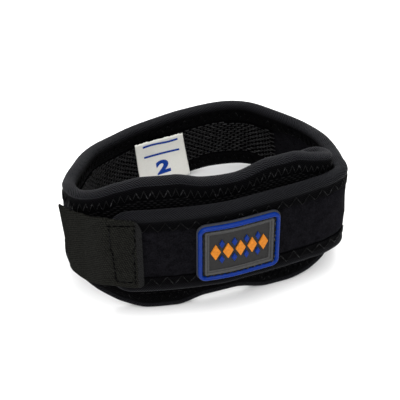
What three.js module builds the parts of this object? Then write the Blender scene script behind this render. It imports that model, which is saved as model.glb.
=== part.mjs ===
// Patella strap: one long padded strap laid as a loop that stands on its lower edge.
// Millimetres, +Z up. The origin is under the middle of the whole strap, on the surface it stands on.
// +X runs along the loop's longer side, -Y is the side with the patch, and the knee goes in along Z.
//
// The strap is drawn flat first: s runs along it, v is the height, and d is the depth through its wall,
// with d above 0 on the outer face. Every sewn piece is laid out on that flat strap and then wrapped
// round the loop, so it follows the wall whatever the sizes are.

import * as THREE from 'three';

// Loop, measured on the middle of the wall of the first lap
const LOOP_LENGTH = 105;
const LOOP_DEPTH = 70;

// Flat strap
const PAD_HEIGHT = 63;
const STRAP_WIDTH = 38;
const CORE_THICKNESS = 3.2;
const CORE_CROWN = 0.4;
const PAD_END_RADIUS = 14;
const STRAP_END_RADIUS = 8;

// Folded tape round the strap's edge
const BINDING_WIDTH = 7.5;
const BINDING_TAPE = 0.8;
const BINDING_FILL = 3;

// Knitted mesh on the inner face
const LINING_THICKNESS = 0.7;

// Hook tape that closes the loop
const TAB_LENGTH = 30;
const TAB_WIDTH = 32;
const TAB_THICKNESS = 1;
const TAB_SEWN_LENGTH = 12;
const TAB_CORNER = 4;
const TAB_DROP = -0.5;
const TAB_TURN = 3;

// Moulded patch
const PATCH_LENGTH = 32.5;
const PATCH_HEIGHT = 27;
const PATCH_CORNER = 3.6;
const PATCH_BASE_THICKNESS = 1.2;
const PATCH_LIP = 0.8;
const PATCH_RIM_WIDTH = 1.7;
const PATCH_RIM_RISE = 1.3;
const PATCH_GROOVE = 0.8;
const PATCH_FRAME_WIDTH = 1.9;
const PATCH_FRAME_RISE = 0.7;
const PATCH_DROP = 0;
const PATCH_FROM_TAB = 20;

// Raised pattern on the patch
const BIG_DIAMONDS = 5;
const BIG_DIAMOND_HEIGHT = 7.6;
const SMALL_DIAMOND_HEIGHT = 4;
const DIAMOND_RISE = 0.6;
const DIAMOND_SPACE = 0.7;

// Woven label
const LABEL_LENGTH = 22;
const LABEL_HEIGHT = 29.5;
const LABEL_SLANT = 6.5;
const LABEL_THICKNESS = 0.5;

// Room left between two pieces, and between the two laps
const PIECE_GAP = 0.3;
const LAP_GAP = 0.4;

// First lap, from the pad's free end inside the right-hand end, along the front, round the left and the back.
// x and y: place of the wall's middle, as shares of half the loop's length and depth.
// foot: height of the lower edge, and extra: height beyond a plain strap's, both as shares of the pad's
// extra height.
// lean: degrees that the wall tips outwards.
const FIRST_LAP = [
  { name: 'pad free end', x: 0.64, y: -0.33, foot: 0.50, extra: 0.00, lean: -2 },
  { name: 'pad end turns', x: 0.77, y: -0.47, foot: 0.44, extra: 0.14, lean: -2 },
  { name: 'right end, inside', x: 0.87, y: -0.62, foot: 0.34, extra: 0.32, lean: -1 },
  { name: 'right shoulder', x: 0.87, y: -0.77, foot: 0.22, extra: 0.52, lean: -1 },
  { name: 'right lobe starts', x: 0.75, y: -0.86, foot: 0.10, extra: 0.76, lean: -1 },
  { name: 'right lobe', x: 0.58, y: -0.91, foot: 0.00, extra: 0.98, lean: -1 },
  { name: 'right lobe ends', x: 0.40, y: -0.94, foot: 0.00, extra: 0.98, lean: -1 },
  { name: 'waist', x: 0.13, y: -0.97, foot: 0.22, extra: 0.62, lean: -1 },
  { name: 'waist ends', x: -0.09, y: -0.99, foot: 0.18, extra: 0.70, lean: -1 },
  { name: 'left lobe', x: -0.31, y: -0.98, foot: 0.00, extra: 1.00, lean: -1 },
  { name: 'left lobe ends', x: -0.51, y: -0.94, foot: 0.00, extra: 1.00, lean: -1 },
  { name: 'left shoulder', x: -0.71, y: -0.87, foot: 0.18, extra: 0.73, lean: 0 },
  { name: 'left corner', x: -0.855, y: -0.78, foot: 0.40, extra: 0.36, lean: 0 },
  { name: 'left end', x: -0.955, y: -0.63, foot: 0.52, extra: 0.12, lean: 0 },
  { name: 'left end turns', x: -1.00, y: -0.42, foot: 0.50, extra: 0.06, lean: -1 },
  { name: 'back left', x: -0.98, y: -0.20, foot: 0.40, extra: 0.06, lean: -3 },
  { name: 'back leans in', x: -0.91, y: 0.06, foot: 0.30, extra: 0.08, lean: -6 },
  { name: 'back before the label', x: -0.76, y: 0.46, foot: 0.14, extra: 0.12, lean: -9 },
  { name: 'back at the label', x: -0.46, y: 0.79, foot: 0.00, extra: 0.16, lean: -12 },
  { name: 'back past the label', x: -0.17, y: 0.94, foot: 0.08, extra: 0.08, lean: -14 },
  { name: 'back middle', x: 0.10, y: 1.02, foot: 0.14, extra: 0.02, lean: -14 },
  { name: 'back right', x: 0.38, y: 1.05, foot: 0.16, extra: 0.00, lean: -14 },
  { name: 'back turns', x: 0.63, y: 1.00, foot: 0.10, extra: 0.02, lean: -14 },
  { name: 'back comes forward', x: 0.80, y: 0.79, foot: 0.00, extra: 0.10, lean: -12 },
  { name: 'right end, back', x: 0.97, y: 0.38, foot: 0.10, extra: 0.06, lean: -9 },
  { name: 'right end nears', x: 1.025, y: -0.05, foot: 0.28, extra: 0.02, lean: -5 },
  { name: 'right end, outside', x: 1.02, y: -0.38, foot: 0.38, extra: 0.00, lean: -2 },
];

// Second lap, laid on the outside of the first, from the right-hand end to the hook tab's free end.
// beside: row of the first lap that it passes, counted from 0.
// clear: open space between the two laps, as a share of the core's thickness. Past the strap's own end
// the numbers fall below 0, because only the thin tab goes on there.
// foot: as in the first lap.
const SECOND_LAP = [
  { beside: 2.2, clear: 0.25, foot: 0.46 },
  { beside: 3.0, clear: 0.10, foot: 0.52 },
  { beside: 3.7, clear: 0.05, foot: 0.55 },
  { beside: 4.4, clear: 0.00, foot: 0.56 },
  { beside: 5.2, clear: 0.05, foot: 0.56 },
  { beside: 6.0, clear: 0.15, foot: 0.56 },
  { beside: 6.7, clear: 0.30, foot: 0.56 },
  { beside: 7.4, clear: 0.40, foot: 0.56 },
  { beside: 8.1, clear: 0.25, foot: 0.56 },
  { beside: 8.8, clear: 0.10, foot: 0.56 },
  { beside: 9.5, clear: 0.00, foot: 0.56 },
  { beside: 10.2, clear: 0.00, foot: 0.56 },
  { beside: 10.8, clear: 0.00, foot: 0.56 },
  { beside: 11.3, clear: -0.20, foot: 0.56 },
  { beside: 11.8, clear: -0.90, foot: 0.56 },
  { beside: 12.3, clear: -1.40, foot: 0.56 },
  { beside: 12.8, clear: -1.40, foot: 0.56 },
  { beside: 13.3, clear: -1.15, foot: 0.56 },
];

const padExtra = PAD_HEIGHT - STRAP_WIDTH;
const wallHalf = CORE_THICKNESS / 2 + PIECE_GAP + BINDING_TAPE;
const slotHalf = CORE_THICKNESS / 2 + PIECE_GAP;

// Curve through the rows and the values beside it

// A smooth value between two rows that never passes above or below them
function between(rows, column, t) {
  const row = Math.min(Math.max(Math.floor(t), 0), rows.length - 2);
  const f = Math.min(Math.max(t - row, 0), 1);
  const step = k => rows[k + 1][column] - rows[k][column];
  const slope = k => {
    if (k === 0 || k === rows.length - 1) return 0;
    const before = step(k - 1);
    const after = step(k);
    return before * after <= 0 ? 0 : 2 * before * after / (before + after);
  };
  const rise = f * f * (3 - 2 * f);
  return rows[row][column] + rise * step(row)
    + f * (1 - f) * (1 - f) * slope(row) - f * f * (1 - f) * slope(row + 1);
}

function planCurve(rows) {
  const points = rows.map(row => new THREE.Vector3(row.x, row.y, 0));
  return new THREE.CatmullRomCurve3(points, false, 'centripetal');
}

// Place and outward direction at row number t. The strap runs clockwise seen from above.
function placeOn(curve, rowCount, t) {
  const u = Math.min(Math.max(t / (rowCount - 1), 0), 1);
  const point = curve.getPoint(u);
  const along = curve.getTangent(u);
  return { x: point.x, y: point.y, outX: -along.y, outY: along.x };
}

function firstLapRows() {
  return FIRST_LAP.map(row => ({
    x: row.x * LOOP_LENGTH / 2,
    y: row.y * LOOP_DEPTH / 2,
    low: row.foot * padExtra,
    top: row.foot * padExtra + STRAP_WIDTH + row.extra * padExtra,
    lean: row.lean,
  }));
}

// The second lap keeps the first lap's lean, so the two walls are parallel where they touch
function secondLapRows(first) {
  const curve = planCurve(first);
  return SECOND_LAP.map(row => {
    const place = placeOn(curve, first.length, row.beside);
    const away = 2 * wallHalf + LAP_GAP + row.clear * CORE_THICKNESS;
    return {
      x: place.x + place.outX * away,
      y: place.y + place.outY * away,
      low: row.foot * padExtra,
      top: row.foot * padExtra + STRAP_WIDTH,
      lean: between(first, 'lean', row.beside),
    };
  });
}

const firstRows = firstLapRows();
const wholeRows = [...firstRows, ...secondLapRows(firstRows)];
const wholeCurve = planCurve(wholeRows);

// Length along the strap against row number, and the stops that every layer of the wall shares,
// so that the layers bend together: a stop comes after so much length or so much turning
const FINE_STEPS = 24;
const LONGEST_STEP = 6.5;
const SHARPEST_STEP = 0.14;
const mileage = [0];
const wallStops = [];
let sinceLength = 0;
let sinceTurn = 0;
for (let k = 1; k <= (wholeRows.length - 1) * FINE_STEPS; k += 1) {
  const a = placeOn(wholeCurve, wholeRows.length, (k - 1) / FINE_STEPS);
  const b = placeOn(wholeCurve, wholeRows.length, k / FINE_STEPS);
  const step = Math.hypot(b.x - a.x, b.y - a.y);
  mileage.push(mileage[k - 1] + step);
  sinceLength += step;
  sinceTurn += Math.abs(Math.asin(THREE.MathUtils.clamp(a.outX * b.outY - a.outY * b.outX, -1, 1)));
  if (sinceLength > LONGEST_STEP || sinceTurn > SHARPEST_STEP) {
    wallStops.push(mileage[k]);
    sinceLength = 0;
    sinceTurn = 0;
  }
}

function rowAt(s) {
  let k = 1;
  while (k < mileage.length - 1 && mileage[k] < s) k += 1;
  return (k - 1 + (s - mileage[k - 1]) / (mileage[k] - mileage[k - 1])) / FINE_STEPS;
}

const pathLength = mileage[mileage.length - 1];
const tabStart = pathLength - TAB_LENGTH;
const strapEnd = tabStart + TAB_SEWN_LENGTH;

// The flat strap's two edges and its wrapping round the loop

function edges(s) {
  const t = rowAt(s);
  return { low: between(wholeRows, 'low', t), top: between(wholeRows, 'top', t) };
}

// Height at a distance inwards from one edge, measured square to it where the edge climbs.
// side is 1 for the upper edge and -1 for the lower one.
function fromEdge(s, side, inward) {
  const height = at => (side > 0 ? edges(at).top : edges(at).low);
  const slope = height(s + 0.5) - height(s - 0.5);
  return height(s) - side * inward * Math.hypot(1, slope);
}

function wrap(s, v, d) {
  const t = rowAt(s);
  const place = placeOn(wholeCurve, wholeRows.length, t);
  const lean = THREE.MathUtils.degToRad(between(wholeRows, 'lean', t));
  const out = d + (v - PAD_HEIGHT / 2) * Math.tan(lean);
  return new THREE.Vector3(place.x + place.outX * out, place.y + place.outY * out, v);
}

// How far a rounded corner cuts into the height at a distance from the end
function cornerCut(fromEnd, radius) {
  const x = Math.min(Math.max(fromEnd, 0), radius);
  return radius - Math.sqrt(radius ** 2 - (radius - x) ** 2);
}

// Solids from rings of points

function evenly(from, to, count) {
  return Array.from({ length: count + 1 }, (_, k) => from + (to - from) * k / count);
}

// A closed body whose skin passes through the rings, capped at both ends
function solidFromRings(rings) {
  const perRing = rings[0].length;
  const positions = rings.flat().flatMap(p => [p.x, p.y, p.z]);
  const index = [];
  for (let i = 0; i < rings.length - 1; i += 1) {
    for (let j = 0; j < perRing; j += 1) {
      const a = i * perRing + j;
      const b = i * perRing + (j + 1) % perRing;
      index.push(a, b, b + perRing, a, b + perRing, a + perRing);
    }
  }
  return { positions, index, perRing, ringCount: rings.length };
}

// The cap is cut into triangles on the flat section, so a folded section stays open,
// and each triangle runs the same way round as the section does
function capFaces(section) {
  const around = Math.sign(THREE.ShapeUtils.area(section));
  return THREE.ShapeUtils.triangulateShape(section, []).map(([a, b, c]) => {
    const turn = Math.sign(THREE.ShapeUtils.area([section[a], section[b], section[c]]));
    return turn === around ? [a, b, c] : [a, c, b];
  });
}

function bodyGeometry(rings, section) {
  const skin = solidFromRings(rings);
  const last = (skin.ringCount - 1) * skin.perRing;
  for (const [a, b, c] of capFaces(section)) {
    skin.index.push(a, c, b);
    skin.index.push(last + a, last + b, last + c);
  }
  const geometry = new THREE.BufferGeometry();
  geometry.setAttribute('position', new THREE.Float32BufferAttribute(skin.positions, 3));
  geometry.setIndex(skin.index);
  return facingOut(geometry);
}

function signedVolume(geometry) {
  const p = geometry.attributes.position;
  const index = geometry.index;
  const a = new THREE.Vector3();
  const b = new THREE.Vector3();
  const c = new THREE.Vector3();
  let sum = 0;
  for (let k = 0; k < index.count; k += 3) {
    a.fromBufferAttribute(p, index.getX(k));
    b.fromBufferAttribute(p, index.getX(k + 1));
    c.fromBufferAttribute(p, index.getX(k + 2));
    sum += a.dot(b.cross(c)) / 6;
  }
  return sum;
}

// Turns every face over if the body came out inside out
function facingOut(geometry) {
  if (signedVolume(geometry) < 0) {
    const index = geometry.index.array;
    for (let k = 0; k < index.length; k += 3) {
      [index[k + 1], index[k + 2]] = [index[k + 2], index[k + 1]];
    }
  }
  geometry.computeVertexNormals();
  return geometry;
}

function piece(name, geometry, look) {
  const mesh = new THREE.Mesh(geometry, new THREE.MeshStandardMaterial(look));
  mesh.name = name;
  return mesh;
}

const CLOTH = { roughness: 0.95, metalness: 0 };
const MOULDED = { roughness: 0.5, metalness: 0 };

// Core: the padded cloth wall, one piece from the pad to the strap's end

const coreInset = BINDING_FILL + PIECE_GAP;
const END_STEPS = 5;
const LEAST_STEP = 0.8;

// The wall's shared stops between two places, both of them included
function stopsBetween(from, to) {
  const inside = wallStops.filter(s => s > from + LEAST_STEP && s < to - LEAST_STEP);
  return [from, ...inside, to];
}

// Stops for a piece with rounded corners at its ends, closer together there
function stopsWithCorners(from, to, fromRadius, toRadius) {
  const quarter = evenly(0, Math.PI / 2, END_STEPS).slice(0, -1).map(angle => 1 - Math.cos(angle));
  const start = fromRadius > 0 ? quarter.map(f => from + f * fromRadius) : [];
  const end = toRadius > 0 ? quarter.map(f => to - f * toRadius).reverse() : [];
  return [...start, ...stopsBetween(from + fromRadius, to - toRadius), ...end];
}

// Half the core's thickness at a share w of its height, a little fuller in the middle
function coreHalf(w) {
  return CORE_THICKNESS / 2 - CORE_CROWN * (1 - 4 * w * (1 - w));
}

function strapCore() {
  const shares = [0, 0.3, 0.7, 1];
  const section = [
    ...shares.map(w => ({ w, side: 1 })),
    ...shares.map(w => ({ w, side: -1 })).reverse(),
  ];
  const stops = stopsWithCorners(coreInset, strapEnd - coreInset,
    PAD_END_RADIUS - coreInset, STRAP_END_RADIUS - coreInset);
  const rings = stops.map(s => {
    const cut = cornerCut(s - coreInset, PAD_END_RADIUS - coreInset)
      + cornerCut(strapEnd - coreInset - s, STRAP_END_RADIUS - coreInset);
    const low = fromEdge(s, -1, coreInset + cut);
    const top = fromEdge(s, 1, coreInset + cut);
    return section.map(({ w, side }) => wrap(s, low + w * (top - low), side * coreHalf(w)));
  });
  const flat = section.map(({ w, side }) => new THREE.Vector2(w, side * coreHalf(w)));
  return piece('strap_core', bodyGeometry(rings, flat), { color: 0x1b1b20, ...CLOTH });
}

// Binding: a folded tape over the core's edge, in an upper and a lower length

// Section across the tape. inward runs from the strap's edge towards its middle.
const BINDING_SECTION = [
  { inward: BINDING_WIDTH, d: wallHalf },
  { inward: 0.3 * BINDING_WIDTH, d: wallHalf },
  { inward: 0.09 * BINDING_WIDTH, d: 0.76 * wallHalf },
  { inward: 0, d: 0.36 * wallHalf },
  { inward: 0, d: -0.36 * wallHalf },
  { inward: 0.09 * BINDING_WIDTH, d: -0.76 * wallHalf },
  { inward: 0.3 * BINDING_WIDTH, d: -wallHalf },
  { inward: BINDING_WIDTH, d: -wallHalf },
  { inward: BINDING_WIDTH, d: -slotHalf },
  { inward: BINDING_FILL, d: -slotHalf },
  { inward: BINDING_FILL, d: slotHalf },
  { inward: BINDING_WIDTH, d: slotHalf },
];

// Stations along one edge of the flat strap, from the middle of one end to the middle of the other.
// Each gives the flat strap's point at a distance inwards: round a corner along the corner's radius,
// and elsewhere straight up or down, so that tape and core lie in the same planes.
function edgeStations(side) {
  const middle = s => (edges(s).top + edges(s).low) / 2;
  const seam = endAt => inward => {
    const s = endAt(inward);
    return { s, v: middle(s) + side * PIECE_GAP / 2 };
  };
  const corner = (endAt, radius) => evenly(0, Math.PI / 2, END_STEPS).map(angle => inward => {
    const s = endAt(radius - (radius - inward) * Math.cos(angle));
    return { s, v: fromEdge(s, side, radius - (radius - inward) * Math.sin(angle)) };
  });
  const run = stopsBetween(PAD_END_RADIUS, strapEnd - STRAP_END_RADIUS).slice(1, -1);
  const padEnd = into => into;
  const farEnd = into => strapEnd - into;
  return [
    seam(padEnd),
    ...corner(padEnd, PAD_END_RADIUS),
    ...run.map(s => inward => ({ s, v: fromEdge(s, side, inward) })),
    ...corner(farEnd, STRAP_END_RADIUS).reverse(),
    seam(farEnd),
  ];
}

function binding(name, side) {
  const rings = edgeStations(side).map(station => BINDING_SECTION.map(({ inward, d }) => {
    const { s, v } = station(inward);
    return wrap(s, v, d);
  }));
  const flat = BINDING_SECTION.map(({ inward, d }) => new THREE.Vector2(inward, d));
  return piece(name, bodyGeometry(rings, flat), { color: 0x24242a, ...CLOTH });
}

// Lining: a knitted mesh on the inner face, between the two bindings, up to the right-hand end

const liningInset = BINDING_WIDTH + PIECE_GAP;
const liningStart = PAD_END_RADIUS;
const LINING_END_ROW = 22.3;

function meshLining() {
  const shares = [0, 0.3, 0.7, 1];
  const inner = w => coreHalf(w) + PIECE_GAP + LINING_THICKNESS;
  const section = [
    ...shares.map(w => ({ w, d: -(coreHalf(w) + PIECE_GAP) })),
    ...shares.map(w => ({ w, d: -inner(w) })).reverse(),
  ];
  const liningEnd = mileage[Math.round(LINING_END_ROW * FINE_STEPS)];
  const rings = stopsBetween(liningStart, liningEnd).map(s => {
    const low = fromEdge(s, -1, liningInset);
    const top = fromEdge(s, 1, liningInset);
    return section.map(({ w, d }) => wrap(s, low + w * (top - low), d));
  });
  const flat = section.map(({ w, d }) => new THREE.Vector2(w, d));
  return piece('mesh_lining', bodyGeometry(rings, flat), { color: 0x17171a, ...CLOTH });
}

// Slab on the wall: a plate of one thickness, wrapped round the strap.
// outline(s) gives the plate's lower and upper point on the flat strap at each of its stops.

function slab(stops, outline, dNear, dFar) {
  const rings = stops.map(s => {
    const [low, top] = outline(s);
    const corners = [[low, dNear], [top, dNear], [top, dFar], [low, dFar]];
    return corners.map(([point, d]) => wrap(point.s, point.v, d));
  });
  const flat = [[0, 0], [0, 1], [1, 1], [1, 0]].map(([x, y]) => new THREE.Vector2(x, y));
  return bodyGeometry(rings, flat);
}

// Hook tab: sewn on the strap's end a little askew, so that its free end points down,
// and pressed on the pad's outer face past it

function hookTab() {
  const middle = (edges(strapEnd).low + edges(strapEnd).top) / 2 - TAB_DROP;
  const turn = THREE.MathUtils.degToRad(TAB_TURN);
  const turned = (along, up) => ({
    s: tabStart + TAB_LENGTH / 2 + along * Math.cos(turn) + up * Math.sin(turn),
    v: middle + up * Math.cos(turn) - along * Math.sin(turn),
  });
  const outline = s => {
    const half = TAB_WIDTH / 2 - cornerCut(s - tabStart, TAB_CORNER);
    const along = s - tabStart - TAB_LENGTH / 2;
    return [turned(along, -half), turned(along, half)];
  };
  const near = wallHalf + PIECE_GAP;
  const stops = stopsWithCorners(tabStart, pathLength, TAB_CORNER, 0);
  const geometry = slab(stops, outline, near, near + TAB_THICKNESS);
  return piece('hook_tab', geometry, { color: 0x33352f, ...CLOTH });
}

// Patch: rounded rectangles, rings and diamonds laid on the front of the second lap

const patchMiddle = tabStart - PATCH_FROM_TAB - PATCH_LENGTH / 2;
const patchBack = wallHalf + PIECE_GAP;
const patchFace = patchBack + PATCH_BASE_THICKNESS;
const CORNER_POINTS = 4;
const SIDE_PARTS = 6;
const LEAST_CORNER = 0.6;

// Points of a rounded rectangle, about the patch's middle
function roundedRectangle(length, height, radius) {
  const corners = [[1, 1, 0], [-1, 1, 90], [-1, -1, 180], [1, -1, 270]];
  return corners.flatMap(([right, up, start]) => evenly(0, 90, CORNER_POINTS - 1).map(turn => {
    const angle = THREE.MathUtils.degToRad(start + turn);
    return {
      x: right * (length / 2 - radius) + radius * Math.cos(angle),
      y: up * (height / 2 - radius) + radius * Math.sin(angle),
    };
  }));
}

// A point of the patch, x to the right as seen from the front and y up.
// Along the second lap the strap runs from right to left.
function onPatch(x, y, d) {
  const { low, top } = edges(patchMiddle);
  return wrap(patchMiddle - x, (low + top) / 2 - PATCH_DROP + y, d);
}

// A plate that bends with the wall, cut into strips along its length
function patchBase() {
  const from = patchMiddle - PATCH_LENGTH / 2;
  const to = patchMiddle + PATCH_LENGTH / 2;
  const { low, top } = edges(patchMiddle);
  const middle = (low + top) / 2 - PATCH_DROP;
  const outline = s => {
    const half = PATCH_HEIGHT / 2 - cornerCut(Math.min(s - from, to - s), PATCH_CORNER);
    return [{ s, v: middle - half }, { s, v: middle + half }];
  };
  const stops = stopsWithCorners(from, to, PATCH_CORNER, PATCH_CORNER);
  const geometry = slab(stops, outline, patchBack, patchFace);
  return piece('patch_base', geometry, { color: 0x55575a, ...MOULDED });
}

// Points of a rounded rectangle with its straight sides cut into equal parts, so that it bends with the wall
function patchLoop(inset) {
  const corners = roundedRectangle(
    PATCH_LENGTH - 2 * inset, PATCH_HEIGHT - 2 * inset, Math.max(PATCH_CORNER - inset, LEAST_CORNER));
  return corners.flatMap((p, k) => {
    const q = corners[(k + 1) % corners.length];
    const parts = (k + 1) % CORNER_POINTS === 0 ? SIDE_PARTS : 1;
    const mix = (f, axis) => p[axis] + f * (q[axis] - p[axis]);
    return evenly(0, 1, parts).slice(0, -1).map(f => ({ x: mix(f, 'x'), y: mix(f, 'y') }));
  });
}

// A raised ring that follows the patch's outline
function patchRing(name, inset, width, rise, color) {
  const outer = patchLoop(inset);
  const inner = patchLoop(inset + width);
  const near = patchFace + PIECE_GAP;
  const rings = outer.map((p, k) => [
    onPatch(p.x, p.y, near),
    onPatch(p.x, p.y, near + rise),
    onPatch(inner[k].x, inner[k].y, near + rise),
    onPatch(inner[k].x, inner[k].y, near),
  ]);
  return piece(name, closedRing(rings), { color, ...MOULDED });
}

function closedRing(rings) {
  const perRing = rings[0].length;
  const index = [];
  for (let i = 0; i < rings.length; i += 1) {
    const next = (i + 1) % rings.length;
    for (let j = 0; j < perRing; j += 1) {
      const b = (j + 1) % perRing;
      index.push(i * perRing + j, i * perRing + b, next * perRing + b);
      index.push(i * perRing + j, next * perRing + b, next * perRing + j);
    }
  }
  const geometry = new THREE.BufferGeometry();
  const positions = rings.flat().flatMap(p => [p.x, p.y, p.z]);
  geometry.setAttribute('position', new THREE.Float32BufferAttribute(positions, 3));
  geometry.setIndex(index);
  return facingOut(geometry);
}

// A diamond with sloping sides
function diamond(name, x, y, width, height, color) {
  const near = patchFace + PIECE_GAP;
  const outline = (scale, d) => [[1, 0], [0, 1], [-1, 0], [0, -1]]
    .map(([right, up]) => onPatch(x + scale * right * width / 2, y + scale * up * height / 2, d));
  const rings = [outline(1, near), outline(1, near + DIAMOND_RISE / 2), outline(0.8, near + DIAMOND_RISE)];
  const flat = [[1, 0], [0, 1], [-1, 0], [0, -1]].map(([a, b]) => new THREE.Vector2(a, b));
  return piece(name, bodyGeometry(rings, flat), { color, ...MOULDED });
}

function diamonds() {
  const frameInside = PATCH_LIP + PATCH_RIM_WIDTH + PATCH_GROOVE + PATCH_FRAME_WIDTH;
  const room = PATCH_LENGTH - 2 * frameInside;
  const pitch = room / BIG_DIAMONDS;
  const ratio = SMALL_DIAMOND_HEIGHT / BIG_DIAMOND_HEIGHT;
  const width = pitch - DIAMOND_SPACE;
  const big = evenly(0, BIG_DIAMONDS - 1, BIG_DIAMONDS - 1)
    .map(k => diamond(`patch_big_diamond_${k + 1}`, (k - (BIG_DIAMONDS - 1) / 2) * pitch, 0,
      width, BIG_DIAMOND_HEIGHT, 0xe8882a));
  const small = [1, -1].flatMap(side => evenly(0, BIG_DIAMONDS - 2, BIG_DIAMONDS - 2).map(k => diamond(
    `patch_small_diamond_${side > 0 ? 'upper' : 'lower'}_${k + 1}`,
    (k - (BIG_DIAMONDS - 2) / 2) * pitch, side * BIG_DIAMOND_HEIGHT / 2,
    width * ratio, SMALL_DIAMOND_HEIGHT, 0x1f4fb5)));
  return [...big, ...small];
}

// Label: woven tape on the inner face of the back wall, sewn in at the lower edge

const LABEL_ROW = 19.43;

function sizeLabel() {
  const from = mileage[Math.round(LABEL_ROW * FINE_STEPS)] - LABEL_LENGTH / 2;
  const near = -(wallHalf + PIECE_GAP);
  const outline = s => {
    const low = edges(s).low + PIECE_GAP;
    return [{ s, v: low }, { s: s - LABEL_SLANT, v: low + LABEL_HEIGHT }];
  };
  const stops = stopsBetween(from, from + LABEL_LENGTH);
  const geometry = slab(stops, outline, near, near - LABEL_THICKNESS);
  return piece('size_label', geometry, { color: 0xe9e8e4, ...CLOTH });
}

// Whole strap, set down with its lowest point on the surface and its middle over the origin

const strap = new THREE.Group();
strap.add(
  strapCore(),
  binding('upper_binding', 1),
  binding('lower_binding', -1),
  meshLining(),
  hookTab(),
  patchBase(),
  patchRing('patch_rim', PATCH_LIP, PATCH_RIM_WIDTH, PATCH_RIM_RISE, 0x2450b8),
  patchRing('patch_frame', PATCH_LIP + PATCH_RIM_WIDTH + PATCH_GROOVE, PATCH_FRAME_WIDTH,
    PATCH_FRAME_RISE, 0x77797c),
  ...diamonds(),
  sizeLabel(),
);
const box = new THREE.Box3().setFromObject(strap);
const middle = box.getCenter(new THREE.Vector3());
strap.position.set(-middle.x, -middle.y, -box.min.z);

export default strap;
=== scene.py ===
# %% [markdown]
# # A padded knee strap
#
# The object is one long strap that lies on its edge in a loop. It starts as a tall pad with two lobes,
# runs round the left end, the back and the right end, and laps over the pad as a plain strap with a
# moulded patch. A hook tab closes it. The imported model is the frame: each soft solid in it is replaced
# here by a piece with the real one's form and finish, in metres and in the same place.

# %% Load the frame
import math
import bmesh
import bpy
import numpy as np
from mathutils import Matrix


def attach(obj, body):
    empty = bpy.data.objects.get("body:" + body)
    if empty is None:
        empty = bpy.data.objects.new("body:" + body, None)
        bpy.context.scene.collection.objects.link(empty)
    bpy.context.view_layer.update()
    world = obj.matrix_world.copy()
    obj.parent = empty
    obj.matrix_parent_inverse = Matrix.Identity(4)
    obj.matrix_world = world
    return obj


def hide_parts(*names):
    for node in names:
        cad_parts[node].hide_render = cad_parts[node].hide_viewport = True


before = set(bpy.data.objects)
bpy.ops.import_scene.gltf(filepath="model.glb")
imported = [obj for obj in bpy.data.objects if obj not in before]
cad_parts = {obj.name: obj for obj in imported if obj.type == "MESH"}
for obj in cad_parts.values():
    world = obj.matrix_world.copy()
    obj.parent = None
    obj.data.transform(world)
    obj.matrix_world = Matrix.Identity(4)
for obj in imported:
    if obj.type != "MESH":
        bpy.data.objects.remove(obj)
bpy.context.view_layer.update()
scene = bpy.context.scene
MM = 0.001

# %% [markdown]
# ## The flat strap and its path
#
# A strap is cut flat and then bent, so it is easiest to draw flat: s runs along it, v is the height and
# d the depth through the wall, with d above 0 on the outer face. The two tables below are nearly the same
# ones that the solids come from, with the lower edge a little lower in places, as in the photograph. A
# smooth curve through their rows gives the plan, and wrap() lays any point of the flat strap on the wall.

# %% Sizes of the strap, in millimetres
LOOP_LENGTH = 105
LOOP_DEPTH = 70
PAD_HEIGHT = 63
STRAP_WIDTH = 38
CORE_THICKNESS = 3.2
CORE_CROWN = 0.4
PAD_END_RADIUS = 14
STRAP_END_RADIUS = 8
TAPE_WIDTH = 7.5
TAPE_THICKNESS = 0.8
TAPE_FILL = 3
GAP = 0.3
LAP_GAP = 0.4
TAB_LENGTH = 30
TAB_SEWN_LENGTH = 12

# %% Rows of the first lap: x, y, foot, extra height, lean
FIRST_LAP = [
    (0.64, -0.33, 0.50, 0.00, -2), (0.77, -0.47, 0.44, 0.14, -2), (0.87, -0.62, 0.34, 0.32, -1),
    (0.87, -0.77, 0.22, 0.52, -1), (0.75, -0.86, 0.08, 0.78, -1), (0.58, -0.91, 0.00, 0.98, -1),
    (0.40, -0.94, 0.00, 0.98, -1), (0.13, -0.97, 0.13, 0.71, -1), (-0.09, -0.99, 0.12, 0.76, -1),
    (-0.31, -0.98, 0.00, 1.00, -1), (-0.51, -0.94, 0.00, 1.00, -1), (-0.71, -0.87, 0.12, 0.79, 0),
    (-0.855, -0.78, 0.32, 0.44, 0), (-0.955, -0.63, 0.47, 0.17, 0), (-1.00, -0.42, 0.50, 0.06, -1),
    (-0.98, -0.20, 0.40, 0.06, -3), (-0.91, 0.06, 0.30, 0.08, -6), (-0.76, 0.46, 0.14, 0.09, -9),
    (-0.46, 0.79, 0.00, 0.13, -12), (-0.17, 0.94, 0.02, 0.13, -14), (0.10, 1.02, 0.04, 0.13, -14),
    (0.38, 1.05, 0.10, 0.08, -14), (0.63, 1.00, 0.08, 0.04, -14), (0.80, 0.79, 0.00, 0.08, -12),
    (0.97, 0.38, 0.10, 0.05, -9), (1.025, -0.05, 0.28, 0.02, -5), (1.02, -0.38, 0.38, 0.00, -2),
]

# %% Rows of the second lap: row of the first lap beside it, clear space, foot
SECOND_LAP = [
    (2.2, 0.25, 0.46), (3.0, 0.10, 0.52), (3.7, 0.05, 0.55), (4.4, 0.00, 0.56), (5.2, 0.05, 0.56),
    (6.0, 0.15, 0.56), (6.7, 0.30, 0.56), (7.4, 0.40, 0.56), (8.1, 0.25, 0.56), (8.8, 0.10, 0.56),
    (9.5, 0.00, 0.56), (10.2, 0.00, 0.56), (10.8, 0.00, 0.56), (11.3, -0.20, 0.56),
    (11.8, -0.90, 0.56), (12.3, -1.40, 0.56), (12.8, -1.40, 0.56), (13.3, -1.15, 0.56),
]

# %% A smooth curve through points, and a smooth value between rows


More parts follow.
